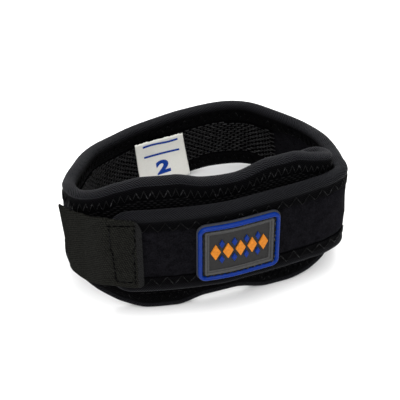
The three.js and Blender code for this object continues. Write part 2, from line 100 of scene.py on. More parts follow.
def curve_at(points, t):
    """Place and direction on a centripetal curve at row number t."""
    last = len(points) - 1
    row = min(int(t), last - 1)
    f = t - row
    p1, p2 = points[row], points[row + 1]
    p0 = points[row - 1] if row > 0 else 2 * p1 - p2
    p3 = points[row + 2] if row + 2 <= last else 2 * p2 - p1
    d0, d1, d2 = (math.sqrt(math.dist(a, b)) for a, b in ((p0, p1), (p1, p2), (p2, p3)))
    m1 = ((p1 - p0) / d0 - (p2 - p0) / (d0 + d1) + (p2 - p1) / d1) * d1
    m2 = ((p2 - p1) / d1 - (p3 - p1) / (d1 + d2) + (p3 - p2) / d2) * d1
    c2 = 3 * (p2 - p1) - 2 * m1 - m2
    c3 = 2 * (p1 - p2) + m1 + m2
    along = m1 + 2 * c2 * f + 3 * c3 * f * f
    return p1 + m1 * f + c2 * f ** 2 + c3 * f ** 3, along / np.linalg.norm(along)


def between(values, t):
    """A smooth value between two rows that never passes above or below them."""
    row = min(int(t), len(values) - 2)
    f = t - row
    step = np.diff(values)

    def slope(k):
        if k == 0 or k == len(values) - 1 or step[k - 1] * step[k] <= 0:
            return 0.0
        return 2 * step[k - 1] * step[k] / (step[k - 1] + step[k])

    return (values[row] + f * f * (3 - 2 * f) * step[row]
            + f * (1 - f) ** 2 * slope(row) - f * f * (1 - f) * slope(row + 1))


# %% The two laps joined, in rows of place, lower edge, upper edge and lean
pad_extra = PAD_HEIGHT - STRAP_WIDTH
wall_half = CORE_THICKNESS / 2 + GAP + TAPE_THICKNESS
places = [np.array((x * LOOP_LENGTH / 2, y * LOOP_DEPTH / 2)) for x, y, *_ in FIRST_LAP]
lows = [foot * pad_extra for _, _, foot, _, _ in FIRST_LAP]
tops = [foot * pad_extra + STRAP_WIDTH + extra * pad_extra for _, _, foot, extra, _ in FIRST_LAP]
leans = [lean for *_, lean in FIRST_LAP]
first_places, first_leans = list(places), list(leans)
for beside, clear, foot in SECOND_LAP:
    place, along = curve_at(first_places, beside)
    away = 2 * wall_half + LAP_GAP + clear * CORE_THICKNESS
    places.append(place + away * np.array((-along[1], along[0])))
    lows.append(foot * pad_extra)
    tops.append(foot * pad_extra + STRAP_WIDTH)
    leans.append(between(first_leans, beside))
print(len(places), "rows along the strap")

# %% The strap's chart: everything as a function of the length along it
FINE_STEPS = 24
chart = {name: [] for name in ("x", "y", "out_x", "out_y", "low", "top", "lean")}
for k in range((len(places) - 1) * FINE_STEPS + 1):
    t = k / FINE_STEPS
    place, along = curve_at(places, t)
    values = (*place, -along[1], along[0], between(lows, t), between(tops, t), between(leans, t))
    for name, value in zip(chart, values):
        chart[name].append(value)
chart = {name: np.array(values) for name, values in chart.items()}
mileage = np.concatenate([[0], np.cumsum(np.hypot(np.diff(chart["x"]), np.diff(chart["y"])))])
path_length = mileage[-1]
tab_start = path_length - TAB_LENGTH
strap_end = tab_start + TAB_SEWN_LENGTH
print("strap length in mm:", round(strap_end, 1), "and with the tab:", round(path_length, 1))


def read(name, s):
    return np.interp(s, mileage, chart[name])


def row_place(row):
    """Length along the strap at a row number."""
    return mileage[round(row * FINE_STEPS)]


# %% wrap() lays points of the flat strap on the wall
SHIFT = np.array((-1.1934, 0.8106))


def wrap(s, v, d):
    """Points in metres from places on the flat strap in millimetres."""
    s, v, d = np.broadcast_arrays(np.asarray(s, float), np.asarray(v, float), np.asarray(d, float))
    out = d + (v - PAD_HEIGHT / 2) * np.tan(np.radians(read("lean", s)))
    x = read("x", s) + read("out_x", s) * out + SHIFT[0]
    y = read("y", s) + read("out_y", s) * out + SHIFT[1]
    return np.stack((x, y, v), axis=-1) * MM


def from_edge(s, side, inward):
    """Height at a distance inwards from the upper edge (side 1) or the lower one (side -1)."""
    name = "top" if side > 0 else "low"
    slope = read(name, s + 0.5) - read(name, s - 0.5)
    return read(name, s) - side * inward * np.hypot(1, slope)


def middle_height(s):
    return (read("low", s) + read("top", s)) / 2


def ease(s, start, end):
    """Goes smoothly from 0 at start to 1 at end."""
    f = np.clip((s - start) / (end - start), 0, 1)
    return f * f * (3 - 2 * f)


def waver(x, seed, longest=70.0):
    """A slow, uneven wave between about -1 and 1, for cloth that is never quite even."""
    x = np.asarray(x, float)
    waves = [(1.0, 1.0, 0.7), (0.61, 0.6, 2.1), (0.37, 0.4, 4.4), (0.19, 0.22, 1.3)]
    return sum(size * np.sin(2 * math.pi * x / (longest * share) + phase + 1.7 * seed)
               for share, size, phase in waves) / 1.6


# %% [markdown]
# ## Meshes from rings
#
# Most pieces here are a section carried along the strap. One helper turns a grid of points into a skin,
# closes its ends and stores a flat map in metres, so that a weave keeps its real scale on every piece.

# %% Helpers for pieces


def add_piece(name, verts, faces, coords=None, smooth=True, marks=None):
    """A mesh object with its place in its mesh.

    coords are flat coordinates, one pair for each vertex. marks are named numbers for each vertex,
    which a material can read to tell one zone of a piece from another.
    """
    mesh = bpy.data.meshes.new(name)
    mesh.from_pydata([tuple(p) for p in verts], [], faces)
    if coords is not None:
        layer = mesh.uv_layers.new(name="cloth")
        corner_verts = np.empty(len(mesh.loops), int)
        mesh.loops.foreach_get("vertex_index", corner_verts)
        layer.data.foreach_set("uv", np.asarray(coords, float)[corner_verts].ravel())
    for label, values in (marks or {}).items():
        mark = mesh.attributes.new(label, "FLOAT", "POINT")
        mark.data.foreach_set("value", np.asarray(values, float))
    work = bmesh.new()
    work.from_mesh(mesh)
    bmesh.ops.recalc_face_normals(work, faces=work.faces)
    work.to_mesh(mesh)
    work.free()
    mesh.polygons.foreach_set("use_smooth", [smooth] * len(mesh.polygons))
    piece = bpy.data.objects.new(name, mesh)
    scene.collection.objects.link(piece)
    return piece


def grid_faces(rows, columns, closed_columns=True, closed_rows=False, start=0):
    """Quads over a grid of rows of points."""
    faces = []
    for i in range(rows if closed_rows else rows - 1):
        for j in range(columns if closed_columns else columns - 1):
            a = start + i * columns + j
            b = start + i * columns + (j + 1) % columns
            up = ((i + 1) % rows - i) * columns
            faces.append((a, b, b + up, a + up))
    return faces


def skin_from_rings(rings, caps=True):
    """Vertices and faces of a closed body whose skin passes through the rings."""
    rings = np.asarray(rings)
    rows, columns = rings.shape[:2]
    faces = grid_faces(rows, columns)
    if caps:
        faces.append(tuple(range(columns))[::-1])
        faces.append(tuple((rows - 1) * columns + j for j in range(columns)))
    return rings.reshape(-1, 3), faces


def finish_piece(piece, material, slot_name, *nodes):
    """Gives a piece its material and its place on the body, and hides the solids that it stands for."""
    if material is not None:
        piece.data.materials.clear()
        piece.data.materials.append(material)
    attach(piece, "root")
    if nodes:
        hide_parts(*nodes)
    print(piece.name, len(piece.data.polygons), "faces")
    return piece

# %% [markdown]
# ## Finishes
#
# The strap is black in every part, so its materials differ in texture and sheen more than in colour.
# Each one is built from nodes: a pattern on the cloth's own flat map where threads follow the piece,
# and fine noise on object coordinates where they don't.

# %% Helpers for node materials


def node(tree, kind, **settings):
    """A new node. Settings that name an input set its value, and the others set a property."""
    made = tree.nodes.new(kind)
    for key, value in settings.items():
        label = key.replace("_", " ")
        match = [i for i in made.inputs if i.name.lower() == label]
        if match:
            match[0].default_value = value
        else:
            setattr(made, key, value)
    return made


def new_material(name, colour, roughness, **sockets):
    """A Principled material and its node tree."""
    material = bpy.data.materials.new(name)
    material.use_nodes = True
    tree = material.node_tree
    shader = tree.nodes["Principled BSDF"]
    shader.inputs["Base Color"].default_value = (*colour, 1)
    shader.inputs["Roughness"].default_value = roughness
    for key, value in sockets.items():
        shader.inputs[key.replace("_", " ").title()].default_value = value
    return material, tree, shader


def two_tones(tree, shader, factor, dark, light, low=0.35, high=0.65):
    """Base colour that goes from dark to light with a pattern."""
    ramp = node(tree, "ShaderNodeValToRGB")
    ramp.color_ramp.elements[0].position = low
    ramp.color_ramp.elements[1].position = high
    ramp.color_ramp.elements[0].color = (*dark, 1)
    ramp.color_ramp.elements[1].color = (*light, 1)
    tree.links.new(factor, ramp.inputs[0])
    tree.links.new(ramp.outputs["Color"], shader.inputs["Base Color"])
    return ramp


def add_bump(tree, shader, height, distance, strength=1.0, below=None):
    """A bump of a real depth in metres, laid over another bump if one is given."""
    bump = node(tree, "ShaderNodeBump", strength=strength, distance=distance)
    tree.links.new(height, bump.inputs["Height"])
    if below is not None:
        tree.links.new(below.outputs["Normal"], bump.inputs["Normal"])
    tree.links.new(bump.outputs["Normal"], shader.inputs["Normal"])
    return bump


def object_noise(tree, size, detail=2.0, roughness=0.6):
    """Noise whose blotches are about that size, in metres."""
    coords = node(tree, "ShaderNodeTexCoord")
    noise = node(tree, "ShaderNodeTexNoise", scale=1 / size, detail=detail, roughness=roughness)
    tree.links.new(coords.outputs["Object"], noise.inputs["Vector"])
    return noise.outputs["Fac"]


def cloth_map(tree, turn=0.0):
    """The piece's flat map in metres, turned by an angle in degrees."""
    uv = node(tree, "ShaderNodeUVMap", uv_map="cloth")
    mapping = node(tree, "ShaderNodeMapping", rotation=(0, 0, math.radians(turn)))
    tree.links.new(uv.outputs["UV"], mapping.inputs["Vector"])
    return mapping.outputs["Vector"]


def ribs(tree, vector, pitch, direction="X", wander=0.0):
    """Even ribs of that pitch in metres along one axis of the map."""
    wave = node(tree, "ShaderNodeTexWave", scale=0.31416 / pitch, distortion=wander)
    wave.bands_direction = direction
    tree.links.new(vector, wave.inputs["Vector"])
    return wave.outputs["Fac"]


def combine(tree, operation, a, b):
    math_node = node(tree, "ShaderNodeMath", operation=operation)
    for k, value in enumerate((a, b)):
        if isinstance(value, (int, float)):
            math_node.inputs[k].default_value = value
        else:
            tree.links.new(value, math_node.inputs[k])
    return math_node.outputs[0]


# %% Plush loop cloth of the strap's face
plush, tree, shader = new_material("plush loop cloth", (0.003, 0.0028, 0.0042), 0.95,
                                   sheen_weight=0.008, sheen_roughness=0.5)
shader.inputs["Sheen Tint"].default_value = (0.7, 0.68, 0.85, 1)
shader.inputs["Specular IOR Level"].default_value = 0.012
fuzz = object_noise(tree, 0.00042, detail=4)
blotches = object_noise(tree, 0.0028, detail=2)
mottle = combine(tree, "ADD", combine(tree, "MULTIPLY", fuzz, 0.72), combine(tree, "MULTIPLY", blotches, 0.28))
two_tones(tree, shader, mottle, (0.0003, 0.0003, 0.0005), (0.0080, 0.0077, 0.0096), 0.38, 0.68)
pile = add_bump(tree, shader, fuzz, 0.0004, 0.9)
add_bump(tree, shader, object_noise(tree, 0.004, detail=2), 0.0008, 0.3, below=pile)

# %% Open knit on the pad's outer face
pad_cloth, tree, shader = new_material("pad cloth", (0.0012, 0.0012, 0.0015), 0.95)
shader.inputs["Specular IOR Level"].default_value = 0.01
coords = node(tree, "ShaderNodeTexCoord")
loops = node(tree, "ShaderNodeTexVoronoi", scale=1 / 0.0014, randomness=0.75)
tree.links.new(coords.outputs["Object"], loops.inputs["Vector"])
two_tones(tree, shader, loops.outputs["Distance"], (0.003, 0.003, 0.0034), (0.0006, 0.0006, 0.0006), 0.1, 0.6)
add_bump(tree, shader, combine(tree, "SUBTRACT", 1.0, loops.outputs["Distance"]), 0.0006, 0.9)

# %% Twill edge tape, with painted highlight on its rim and painted shade on its flap
twill, tree, shader = new_material("twill edge tape", (0.01, 0.0105, 0.012), 0.65,
                                   sheen_roughness=0.3)
shader.inputs["Sheen Tint"].default_value = (0.85, 0.87, 0.95, 1)
diagonal = ribs(tree, cloth_map(tree, 45), 0.00068, wander=0.5)
cross = ribs(tree, cloth_map(tree, -45), 0.00085, wander=0.6)
speck = object_noise(tree, 0.0004, detail=3)
weave = combine(tree, "ADD", combine(tree, "MULTIPLY", diagonal, 0.62), combine(tree, "MULTIPLY", speck, 0.38))
weave = combine(tree, "ADD", weave, combine(tree, "MULTIPLY", cross, 0.15))
# The rim mark chooses the tones. The lighter ones on the rolled rim are a painted highlight, as if lit from above, and
# the darker ones on the flat flap are painted shade. The mark also raises the rim's specular and sheen.
rim_mark = node(tree, "ShaderNodeAttribute", attribute_name="rim").outputs["Fac"]
rim_painted_highlight = two_tones(tree, shader, weave, (0.0003, 0.0003, 0.0006), (0.0128, 0.0131, 0.0158), 0.42, 0.86)
band_painted_shade = node(tree, "ShaderNodeValToRGB")
band_painted_shade.color_ramp.elements[0].position = 0.38
band_painted_shade.color_ramp.elements[1].position = 0.92
band_painted_shade.color_ramp.elements[0].color = (0.0005, 0.0005, 0.0006, 1)
band_painted_shade.color_ramp.elements[1].color = (0.0031, 0.0031, 0.0037, 1)
tree.links.new(weave, band_painted_shade.inputs[0])
highlight_and_shade_zones = node(tree, "ShaderNodeMix", data_type="RGBA")
tree.links.new(rim_mark, highlight_and_shade_zones.inputs[0])
tree.links.new(band_painted_shade.outputs["Color"], highlight_and_shade_zones.inputs[6])
tree.links.new(rim_painted_highlight.outputs["Color"], highlight_and_shade_zones.inputs[7])
tree.links.new(highlight_and_shade_zones.outputs[2], shader.inputs["Base Color"])
rim_shine = combine(tree, "MULTIPLY", combine(tree, "MULTIPLY", rim_mark, weave), 0.08)
tree.links.new(combine(tree, "ADD", rim_shine, 0.008), shader.inputs["Specular IOR Level"])
tree.links.new(combine(tree, "MULTIPLY", rim_mark, 0.035), shader.inputs["Sheen Weight"])
ridge = add_bump(tree, shader, weave, 0.0003, 1.0)
add_bump(tree, shader, object_noise(tree, 0.005, detail=2), 0.0007, 0.25, below=ridge)

# %% Knitted lining thread, a darker copy for the pad in painted shade, and the dark cloth under them
knit_thread, tree, shader = new_material("knit thread", (0.014, 0.014, 0.015), 0.6)
shader.inputs["Specular IOR Level"].default_value = 0.07
two_tones(tree, shader, object_noise(tree, 0.0009, detail=3), (0.0024, 0.0024, 0.0027), (0.036, 0.036, 0.037), 0.38, 0.68)
# The pad's outer knit takes the lining's thread in tones several times darker. This is painted shade of the hollow
# between the pad and the lap over it.
pad_shaded_thread, tree, shader = new_material("pad knit thread", (0.004, 0.004, 0.0045), 0.7)
shader.inputs["Specular IOR Level"].default_value = 0.03
two_tones(tree, shader, object_noise(tree, 0.0008, detail=3), (0.0008, 0.0008, 0.001), (0.008, 0.008, 0.0085))
knit_ground, tree, shader = new_material("knit ground", (0.0006, 0.0006, 0.0007), 0.95)
shader.inputs["Specular IOR Level"].default_value = 0.01
ground_fuzz = object_noise(tree, 0.0007, detail=2)
two_tones(tree, shader, ground_fuzz, (0.0003, 0.0003, 0.0004), (0.0014, 0.0014, 0.0017))
add_bump(tree, shader, ground_fuzz, 0.0004, 0.6)

# %% Hook tape
hook_cloth, tree, shader = new_material("hook tape", (0.008, 0.0084, 0.0068), 0.75)
shader.inputs["Specular IOR Level"].default_value = 0.02
one_way = ribs(tree, cloth_map(tree, 20), 0.00075, wander=0.8)
other_way = ribs(tree, cloth_map(tree, -70), 0.0009, wander=0.8)
hooks = combine(tree, "MULTIPLY", one_way, other_way)
grain = combine(tree, "ADD", combine(tree, "MULTIPLY", hooks, 0.35),
                combine(tree, "MULTIPLY", object_noise(tree, 0.0006, detail=3), 0.75))
hook_tones = two_tones(tree, shader, grain, (0.0005, 0.0005, 0.0004), (0.0165, 0.0168, 0.0142), 0.30, 0.72)
strip_mark = node(tree, "ShaderNodeAttribute", attribute_name="strip").outputs["Fac"]
worn = node(tree, "ShaderNodeMix", data_type="RGBA")
worn.inputs[7].default_value = (0.0125, 0.0125, 0.0135, 1)
tree.links.new(combine(tree, "MULTIPLY", strip_mark, combine(tree, "MULTIPLY", grain, 1.1)), worn.inputs[0])
tree.links.new(hook_tones.outputs["Color"], worn.inputs[6])
tree.links.new(worn.outputs[2], shader.inputs["Base Color"])
add_bump(tree, shader, grain, 0.0004, 0.9)

# %% Moulded plastic, in the patch's colours


def moulded(name, colour, roughness=0.5):
    """Soft plastic with a fine, slightly uneven skin."""
    material, tree, shader = new_material(name, colour, roughness)
    shader.inputs["Specular IOR Level"].default_value = 0.09
    fine = object_noise(tree, 0.0009, detail=3)
    dark = tuple(0.82 * c for c in colour)
    light = tuple(min(1.0, 1.15 * c) for c in colour)
    two_tones(tree, shader, fine, dark, light, 0.3, 0.7)
    add_bump(tree, shader, fine, 0.00006, 0.5)
    return material


plastic_blue = moulded("moulded blue", (0.0010, 0.018, 0.150), 0.32)
plastic_orange = moulded("moulded orange", (0.46, 0.150, 0.012))
plastic_lip = moulded("moulded lip grey", (0.026, 0.028, 0.036))
plastic_frame = moulded("moulded frame grey", (0.046, 0.046, 0.046))
plastic_panel = moulded("moulded panel grey", (0.019, 0.0185, 0.0185), 0.6)

# %% Sewing thread with painted glints and painted shade, label and label print
# The light patches on these threads are painted glints, where a real thread catches light on its peaks. This copy,
# which has the most, is for seams in full light.
thread, tree, shader = new_material("sewing thread", (0.012, 0.012, 0.014), 0.45)
shader.inputs["Specular IOR Level"].default_value = 0.12
two_tones(tree, shader, object_noise(tree, 0.0018, detail=2), (0.0006, 0.0006, 0.0008), (0.055, 0.055, 0.058), 0.55, 0.74)
# A darker copy of the same thread with fewer painted glints. On the tab's box it is the dark thread itself. On the
# seams turned from the light, its darkness is painted shade.
dark_and_shaded_thread, tree, shader = new_material("dark and shaded sewing thread", (0.0015, 0.0015, 0.0018), 0.6)
shader.inputs["Specular IOR Level"].default_value = 0.01
two_tones(tree, shader, object_noise(tree, 0.0012, detail=2), (0.0002, 0.0002, 0.0003), (0.022, 0.022, 0.023), 0.52, 0.74)
# A copy between the two for the strap's seams: darker than the first as painted shade, with painted glints.
strap_thread, tree, shader = new_material("strap sewing thread", (0.0015, 0.0015, 0.0018), 0.55)
shader.inputs["Specular IOR Level"].default_value = 0.06
two_tones(tree, shader, object_noise(tree, 0.0011, detail=2), (0.0002, 0.0002, 0.0003), (0.036, 0.036, 0.038), 0.53, 0.76)
label_cloth, tree, shader = new_material("label cloth", (0.82, 0.81, 0.76), 0.7)
shader.inputs["Specular IOR Level"].default_value = 0.2
label_threads = combine(tree, "ADD", combine(tree, "MULTIPLY", ribs(tree, cloth_map(tree), 0.0004), 0.5),
                        combine(tree, "MULTIPLY", object_noise(tree, 0.0012, detail=3), 0.5))
two_tones(tree, shader, label_threads, (0.76, 0.75, 0.69), (0.88, 0.87, 0.82), 0.2, 0.8)
add_bump(tree, shader, label_threads, 0.00006, 0.5)
label_print, tree, shader = new_material("label print", (0.010, 0.05, 0.42), 0.7)
shader.inputs["Specular IOR Level"].default_value = 0.1
two_tones(tree, shader, object_noise(tree, 0.0005, detail=2), (0.0006, 0.032, 0.25), (0.0012, 0.048, 0.34))
print(len(bpy.data.materials), "materials")

# %% [markdown]
# ## The camera
#
# The camera stands where the photograph's did: to the left of the front, 40 degrees up, about half a
# metre away. It comes early, so that every piece can be compared with the photograph from the start.

# %% Camera
AZIMUTH, ELEVATION, DISTANCE = -15.0, 40.0, 0.460
target = np.array((SHIFT[0] * MM, (SHIFT[1] - 10) * MM, 0.029))
a, e = math.radians(AZIMUTH), math.radians(ELEVATION)
back = np.array((math.sin(a) * math.cos(e), -math.cos(a) * math.cos(e), math.sin(e)))
camera = bpy.data.objects.new("camera", bpy.data.cameras.new("camera"))
camera.data.sensor_width = 36
camera.data.lens = 1150 / 400 * 36
camera.data.clip_start = 0.01
camera.location = target + DISTANCE * back
camera.rotation_euler = (math.radians(90 - ELEVATION), 0, a)
scene.collection.objects.link(camera)
scene.camera = camera
print("camera at", [round(x, 3) for x in camera.location])

# %% [markdown]
# ## The padded wall
#
# The wall is foam between two cloths, sewn down along both edges. So it is built as a closed shell that
# is thin under the tapes and fuller between them, and then blown up a little by a cloth simulation that
# is held at the seams. That gives the slight fullness and pulls that flat modelling lacks. How far a
# point may move is capped, so the wall keeps clear of the patch, the tab and the lap beside it.

# %% Wall shell
WALL_STEP = 1.7
WALL_ACROSS = 22
core_inset = TAPE_FILL + GAP


def corner_cut(from_end, radius):
    x = np.clip(from_end, 0, radius)
    return radius - np.sqrt(radius ** 2 - (radius - x) ** 2)


def wall_stops(start, end, first_radius, last_radius, step=WALL_STEP, corner_steps=9):
    """Places along the strap, closer together round its rounded corners."""
    quarter = 1 - np.cos(np.linspace(0, math.pi / 2, corner_steps, endpoint=False))
    count = round((end - last_radius - start - first_radius) / step)
    run = np.linspace(start + first_radius, end - last_radius, count + 1)
    return np.concatenate([start + quarter * first_radius, run, (end - quarter * last_radius)[::-1]])


stops = wall_stops(core_inset, strap_end - core_inset, PAD_END_RADIUS - core_inset, STRAP_END_RADIUS - core_inset)
cut = (corner_cut(stops - core_inset, PAD_END_RADIUS - core_inset)
       + corner_cut(strap_end - core_inset - stops, STRAP_END_RADIUS - core_inset))
wall_low = from_edge(stops, -1, core_inset + cut)
wall_top = from_edge(stops, 1, core_inset + cut)
shares = np.linspace(0, 1, WALL_ACROSS)
rings, wall_coords, in_field = [], [], []
for s, low, top in zip(stops, wall_low, wall_top):
    v = low + shares * (top - low)
    inside = np.minimum(np.minimum(v - read("low", s), read("top", s) - v), min(s, strap_end - s))
    full = np.clip((inside - TAPE_WIDTH + 1.2) / 3.0, 0, 1)
    half = 1.25 + 0.35 * ease(full, 0, 1)
    fuller = 0.72 * ease(full, 0, 1) * ease(s, row_place(13), row_place(13) + 12)
    dent = 0.12 * waver(s + 2 * v, 1, 31)
    outer = wrap(s, v, half + fuller + dent * full)
    inner = wrap(s, v[::-1], -half[::-1])
    rings.append(np.concatenate([outer, inner]))
    wall_coords += [(s * MM, h * MM) for h in v] + [(s * MM, h * MM + 0.1) for h in v[::-1]]
    in_field += list(full) + list(full[::-1])
verts, faces = skin_from_rings(rings)
wall = add_piece("padded_wall", verts, faces, wall_coords)

# %% Blow the wall up a little between its seams
OUTWARD_CAP = 0.38 * MM
INWARD_CAP = 0.2 * MM


def swell(piece, hold, frames=18, pressure=4.0, growth=0.025):
    """How a closed cloth shell moves under pressure when it is held where hold is 1."""
    group = piece.vertex_groups.new(name="seams")
    for k, weight in enumerate(hold):
        group.add([k], float(weight), "REPLACE")
    cloth = piece.modifiers.new("cloth", "CLOTH")
    cloth.settings.quality = 6
    cloth.settings.mass = 0.12
    cloth.settings.tension_stiffness = 12
    cloth.settings.compression_stiffness = 12
    cloth.settings.shear_stiffness = 4
    cloth.settings.bending_stiffness = 0.3
    cloth.settings.use_pressure = True
    cloth.settings.uniform_pressure_force = pressure
    cloth.settings.shrink_min = -growth
    cloth.settings.vertex_group_mass = "seams"
    cloth.settings.effector_weights.gravity = 0
    cloth.collision_settings.use_collision = False
    cloth.point_cache.frame_start = 1
    cloth.point_cache.frame_end = frames
    for frame_number in range(1, frames + 1):
        scene.frame_set(frame_number)
    graph = bpy.context.evaluated_depsgraph_get()
    moved = piece.evaluated_get(graph).to_mesh()
    after = np.empty(3 * len(moved.vertices))
    moved.vertices.foreach_get("co", after)
    piece.evaluated_get(graph).to_mesh_clear()
    piece.modifiers.remove(cloth)
    piece.vertex_groups.remove(group)
    scene.frame_set(1)
    return after.reshape(-1, 3)


wall_mesh = wall.data
before = np.empty(3 * len(wall_mesh.vertices))
wall_mesh.vertices.foreach_get("co", before)
before = before.reshape(-1, 3)
after = swell(wall, 1 - np.array(in_field))
move = (after - before).reshape(len(stops), 2 * WALL_ACROSS, 3)
for _ in range(4):
    for axis in (0, 1):
        move = (np.roll(move, 1, axis) + 2 * move + np.roll(move, -1, axis)) / 4
move = move.reshape(-1, 3)
outer_side = np.tile(np.arange(2 * WALL_ACROSS) < WALL_ACROSS, len(stops))
cap = np.where(outer_side, OUTWARD_CAP, INWARD_CAP)
size = np.linalg.norm(move, axis=1)
print("cloth moved by up to", round(size.max() / MM, 2), "mm, median", round(float(np.median(size)) / MM, 2))
soft_size = cap * np.tanh(size / cap)
move *= (soft_size / np.maximum(size, 1e-9))[:, None] * np.array(in_field)[:, None]
wall_mesh.vertices.foreach_set("co", (before + move).ravel())
wall_mesh.update()

# %% Finish the wall: plush on the strap, open knit on the pad's outer face
wall.data.materials.append(plush)
wall.data.materials.append(pad_cloth)
pad_reach = row_place(13)
for polygon in wall.data.polygons:
    flat = wall.data.uv_layers["cloth"].data[polygon.loop_start].uv
    polygon.material_index = 1 if flat[0] < pad_reach * MM and flat[1] < 0.08 else 0
finish_piece(wall, None, "padded_cloth", "strap_core")

# %% [markdown]
# ## The edge tapes
#
# A folded twill tape covers each edge. It rolls over the edge as a soft round rim, dips at a line of
# sewing, and lies flat down to its inner edge. A section with that dip, carried along both edges, gives
# it. The width and the fullness waver slowly, because a sewn tape is never quite even.

# %% Sections of the tape: distance inwards and depth, from a flap's inner edge out to the rim
STRAP_FACE = [
    (7.50, 1.90), (7.53, 2.18), (7.40, 2.40), (7.00, 2.50), (6.30, 2.54), (5.50, 2.52), (4.70, 2.48),
    (4.00, 2.42), (3.45, 2.36), (3.05, 2.32), (2.75, 2.38), (2.45, 2.50), (2.10, 2.62), (1.70, 2.68),
    (1.30, 2.64), (0.90, 2.45), (0.50, 2.05), (0.20, 1.42), (0.03, 0.72), (0.00, 0.00),
]
PAD_FACE = [
    (7.50, 1.90), (7.53, 2.18), (7.40, 2.38), (7.00, 2.46), (6.30, 2.48), (5.50, 2.46), (4.70, 2.42),
    (3.90, 2.36), (3.20, 2.26), (2.65, 2.12), (2.30, 1.92), (2.05, 1.84), (1.85, 2.02), (1.60, 2.28),
    (1.25, 2.44), (0.90, 2.38), (0.55, 2.06), (0.22, 1.45), (0.04, 0.74), (0.00, 0.00),
]
LINED_FACE = [
    (9.30, 1.90), (9.33, 2.16), (9.18, 2.34), (8.60, 2.42), (7.60, 2.46), (6.60, 2.48), (5.70, 2.50),
    (4.90, 2.52), (4.20, 2.53), (3.60, 2.54), (3.10, 2.56), (2.70, 2.58), (2.30, 2.60), (1.90, 2.60),
    (1.45, 2.54), (1.00, 2.34), (0.58, 1.96), (0.24, 1.38), (0.04, 0.70), (0.00, 0.00),
]
STRAP_FACE, PAD_FACE, LINED_FACE = (np.array(face) for face in (STRAP_FACE, PAD_FACE, LINED_FACE))
slot_half = CORE_THICKNESS / 2 + GAP
PAD_PITCH, BACK_PITCH, STRAP_PITCH = 2.9, 3.8, 5.6
pad_reach, lining_reach, lap_start = row_place(13.5), row_place(22.6) + 6, row_place(26.5)


def outer_face(s):
    on_pad = 1 - ease(s, pad_reach, pad_reach + 12)
    return on_pad * PAD_FACE + (1 - on_pad) * STRAP_FACE


def inner_face(s):
    lined = ease(s, 16, 26) * (1 - ease(s, lining_reach, lining_reach + 14))
    return lined * LINED_FACE + (1 - lined) * STRAP_FACE


def seam_pitch(s):
    return PAD_PITCH if s < pad_reach else BACK_PITCH if s < lap_start else STRAP_PITCH

# %% Carry the section along an edge


def edge_stations(side, step):
    """Functions that give the flat strap's point at a distance inwards, from end to end."""
    def seam(end_at):
        return lambda inward: (end_at(inward), middle_height(end_at(inward)) + side * GAP / 2)

    def corner(end_at, radius, angle):
        def point(inward):
            s = end_at(radius - (radius - inward) * np.cos(angle))
            return s, from_edge(s, side, radius - (radius - inward) * np.sin(angle))
        return point

    def straight(s):
        return lambda inward: (s + 0 * inward, from_edge(s + 0 * inward, side, inward))

    def pad_end(inward):
        return inward + 0.0

    def far_end(inward):
        return strap_end - inward

    count = round((strap_end - STRAP_END_RADIUS - PAD_END_RADIUS) / step)
    run = np.linspace(PAD_END_RADIUS, strap_end - STRAP_END_RADIUS, count + 1)[1:-1]
    pad_turn = np.linspace(0, math.pi / 2, round(22 / step))
    far_turn = np.linspace(math.pi / 2, 0, round(12.5 / step))
    return ([seam(pad_end)] + [corner(pad_end, PAD_END_RADIUS, x) for x in pad_turn]
            + [straight(s) for s in run]
            + [corner(far_end, STRAP_END_RADIUS, x) for x in far_turn] + [seam(far_end)])


def pucker(inward, phase):
    """Small folds that the zigzag pulls into the flap, across the seam."""
    across = np.exp(-((inward - 5.6) / 1.7) ** 2)
    return across * 0.11 * np.cos(phase) * (1 + 0.35 * np.sin(phase / 3.7))


def edge_tape(name, side, step=0.72):
    rings, flat, rim = [], [], []
    travelled, phase, last_point = 0.0, 0.0, None
    for station in edge_stations(side, step):
        s0, v0 = station(np.array([0.0]))
        point = (float(s0[0]), float(v0[0]))
        moved = 0 if last_point is None else math.dist(point, last_point)
        last_point = point
        travelled += moved
        phase += 2 * math.pi * moved / seam_pitch(point[0])
        section = []
        for face, shape in ((1, outer_face(point[0])), (-1, inner_face(point[0]))):
            inward, depth = shape.T.copy()
            flap = np.clip((inward - TAPE_FILL) / 4.5, 0, 1)
            edge_wave = 0.16 * waver(travelled, side + face, 23) + 0.14 * math.cos(phase + 0.9 * face)
            inward = inward + flap ** 4 * edge_wave
            roll = np.exp(-((inward - 1.4) / 0.9) ** 2)
            depth = depth + roll * (0.07 * waver(travelled, side + 3 * face, 21) + 0.03 * math.cos(phase))
            depth = depth + pucker(inward, phase) + 0.06 * waver(travelled, side + 5 * face, 60) * flap
            depth = np.where(depth > slot_half + 0.08, depth, shape[:, 1])
            section.append(np.stack([inward, face * np.clip(depth, 0, 2.85)], axis=1))
        outer, inner = section
        ring = np.concatenate([outer, inner[-2::-1], [(TAPE_FILL, -slot_half), (TAPE_FILL, slot_half)]])
        s, v = station(ring[:, 0])
        rings.append(wrap(s, v, ring[:, 1]))
        girth = np.concatenate([[0], np.cumsum(np.hypot(*np.diff(ring, axis=0).T))])
        flat += [(travelled * MM, g * MM) for g in girth]
        # The rim mark that the twill reads: 1 on the rolled top, which gets the painted highlight, falling to 0 on the
        # flap, which gets painted shade. On the strap it fades over about 4 mm, and on the pad at the sewn dip.
        on_pad = 1 - ease(point[0], pad_reach, pad_reach + 12)
        rim_out = on_pad * (1 - ease(outer[:, 0], 1.6, 2.8)) + (1 - on_pad) * (1 - ease(outer[:, 0], 0.2, 4.4))
        rim_in = 1 - ease(inner[:, 0], 0.0, 2.9)
        rim += [*rim_out, *rim_in[-2::-1], 0, 0]
    verts, faces = skin_from_rings(rings)
    return add_piece(name, verts, faces, flat, marks={"rim": rim})


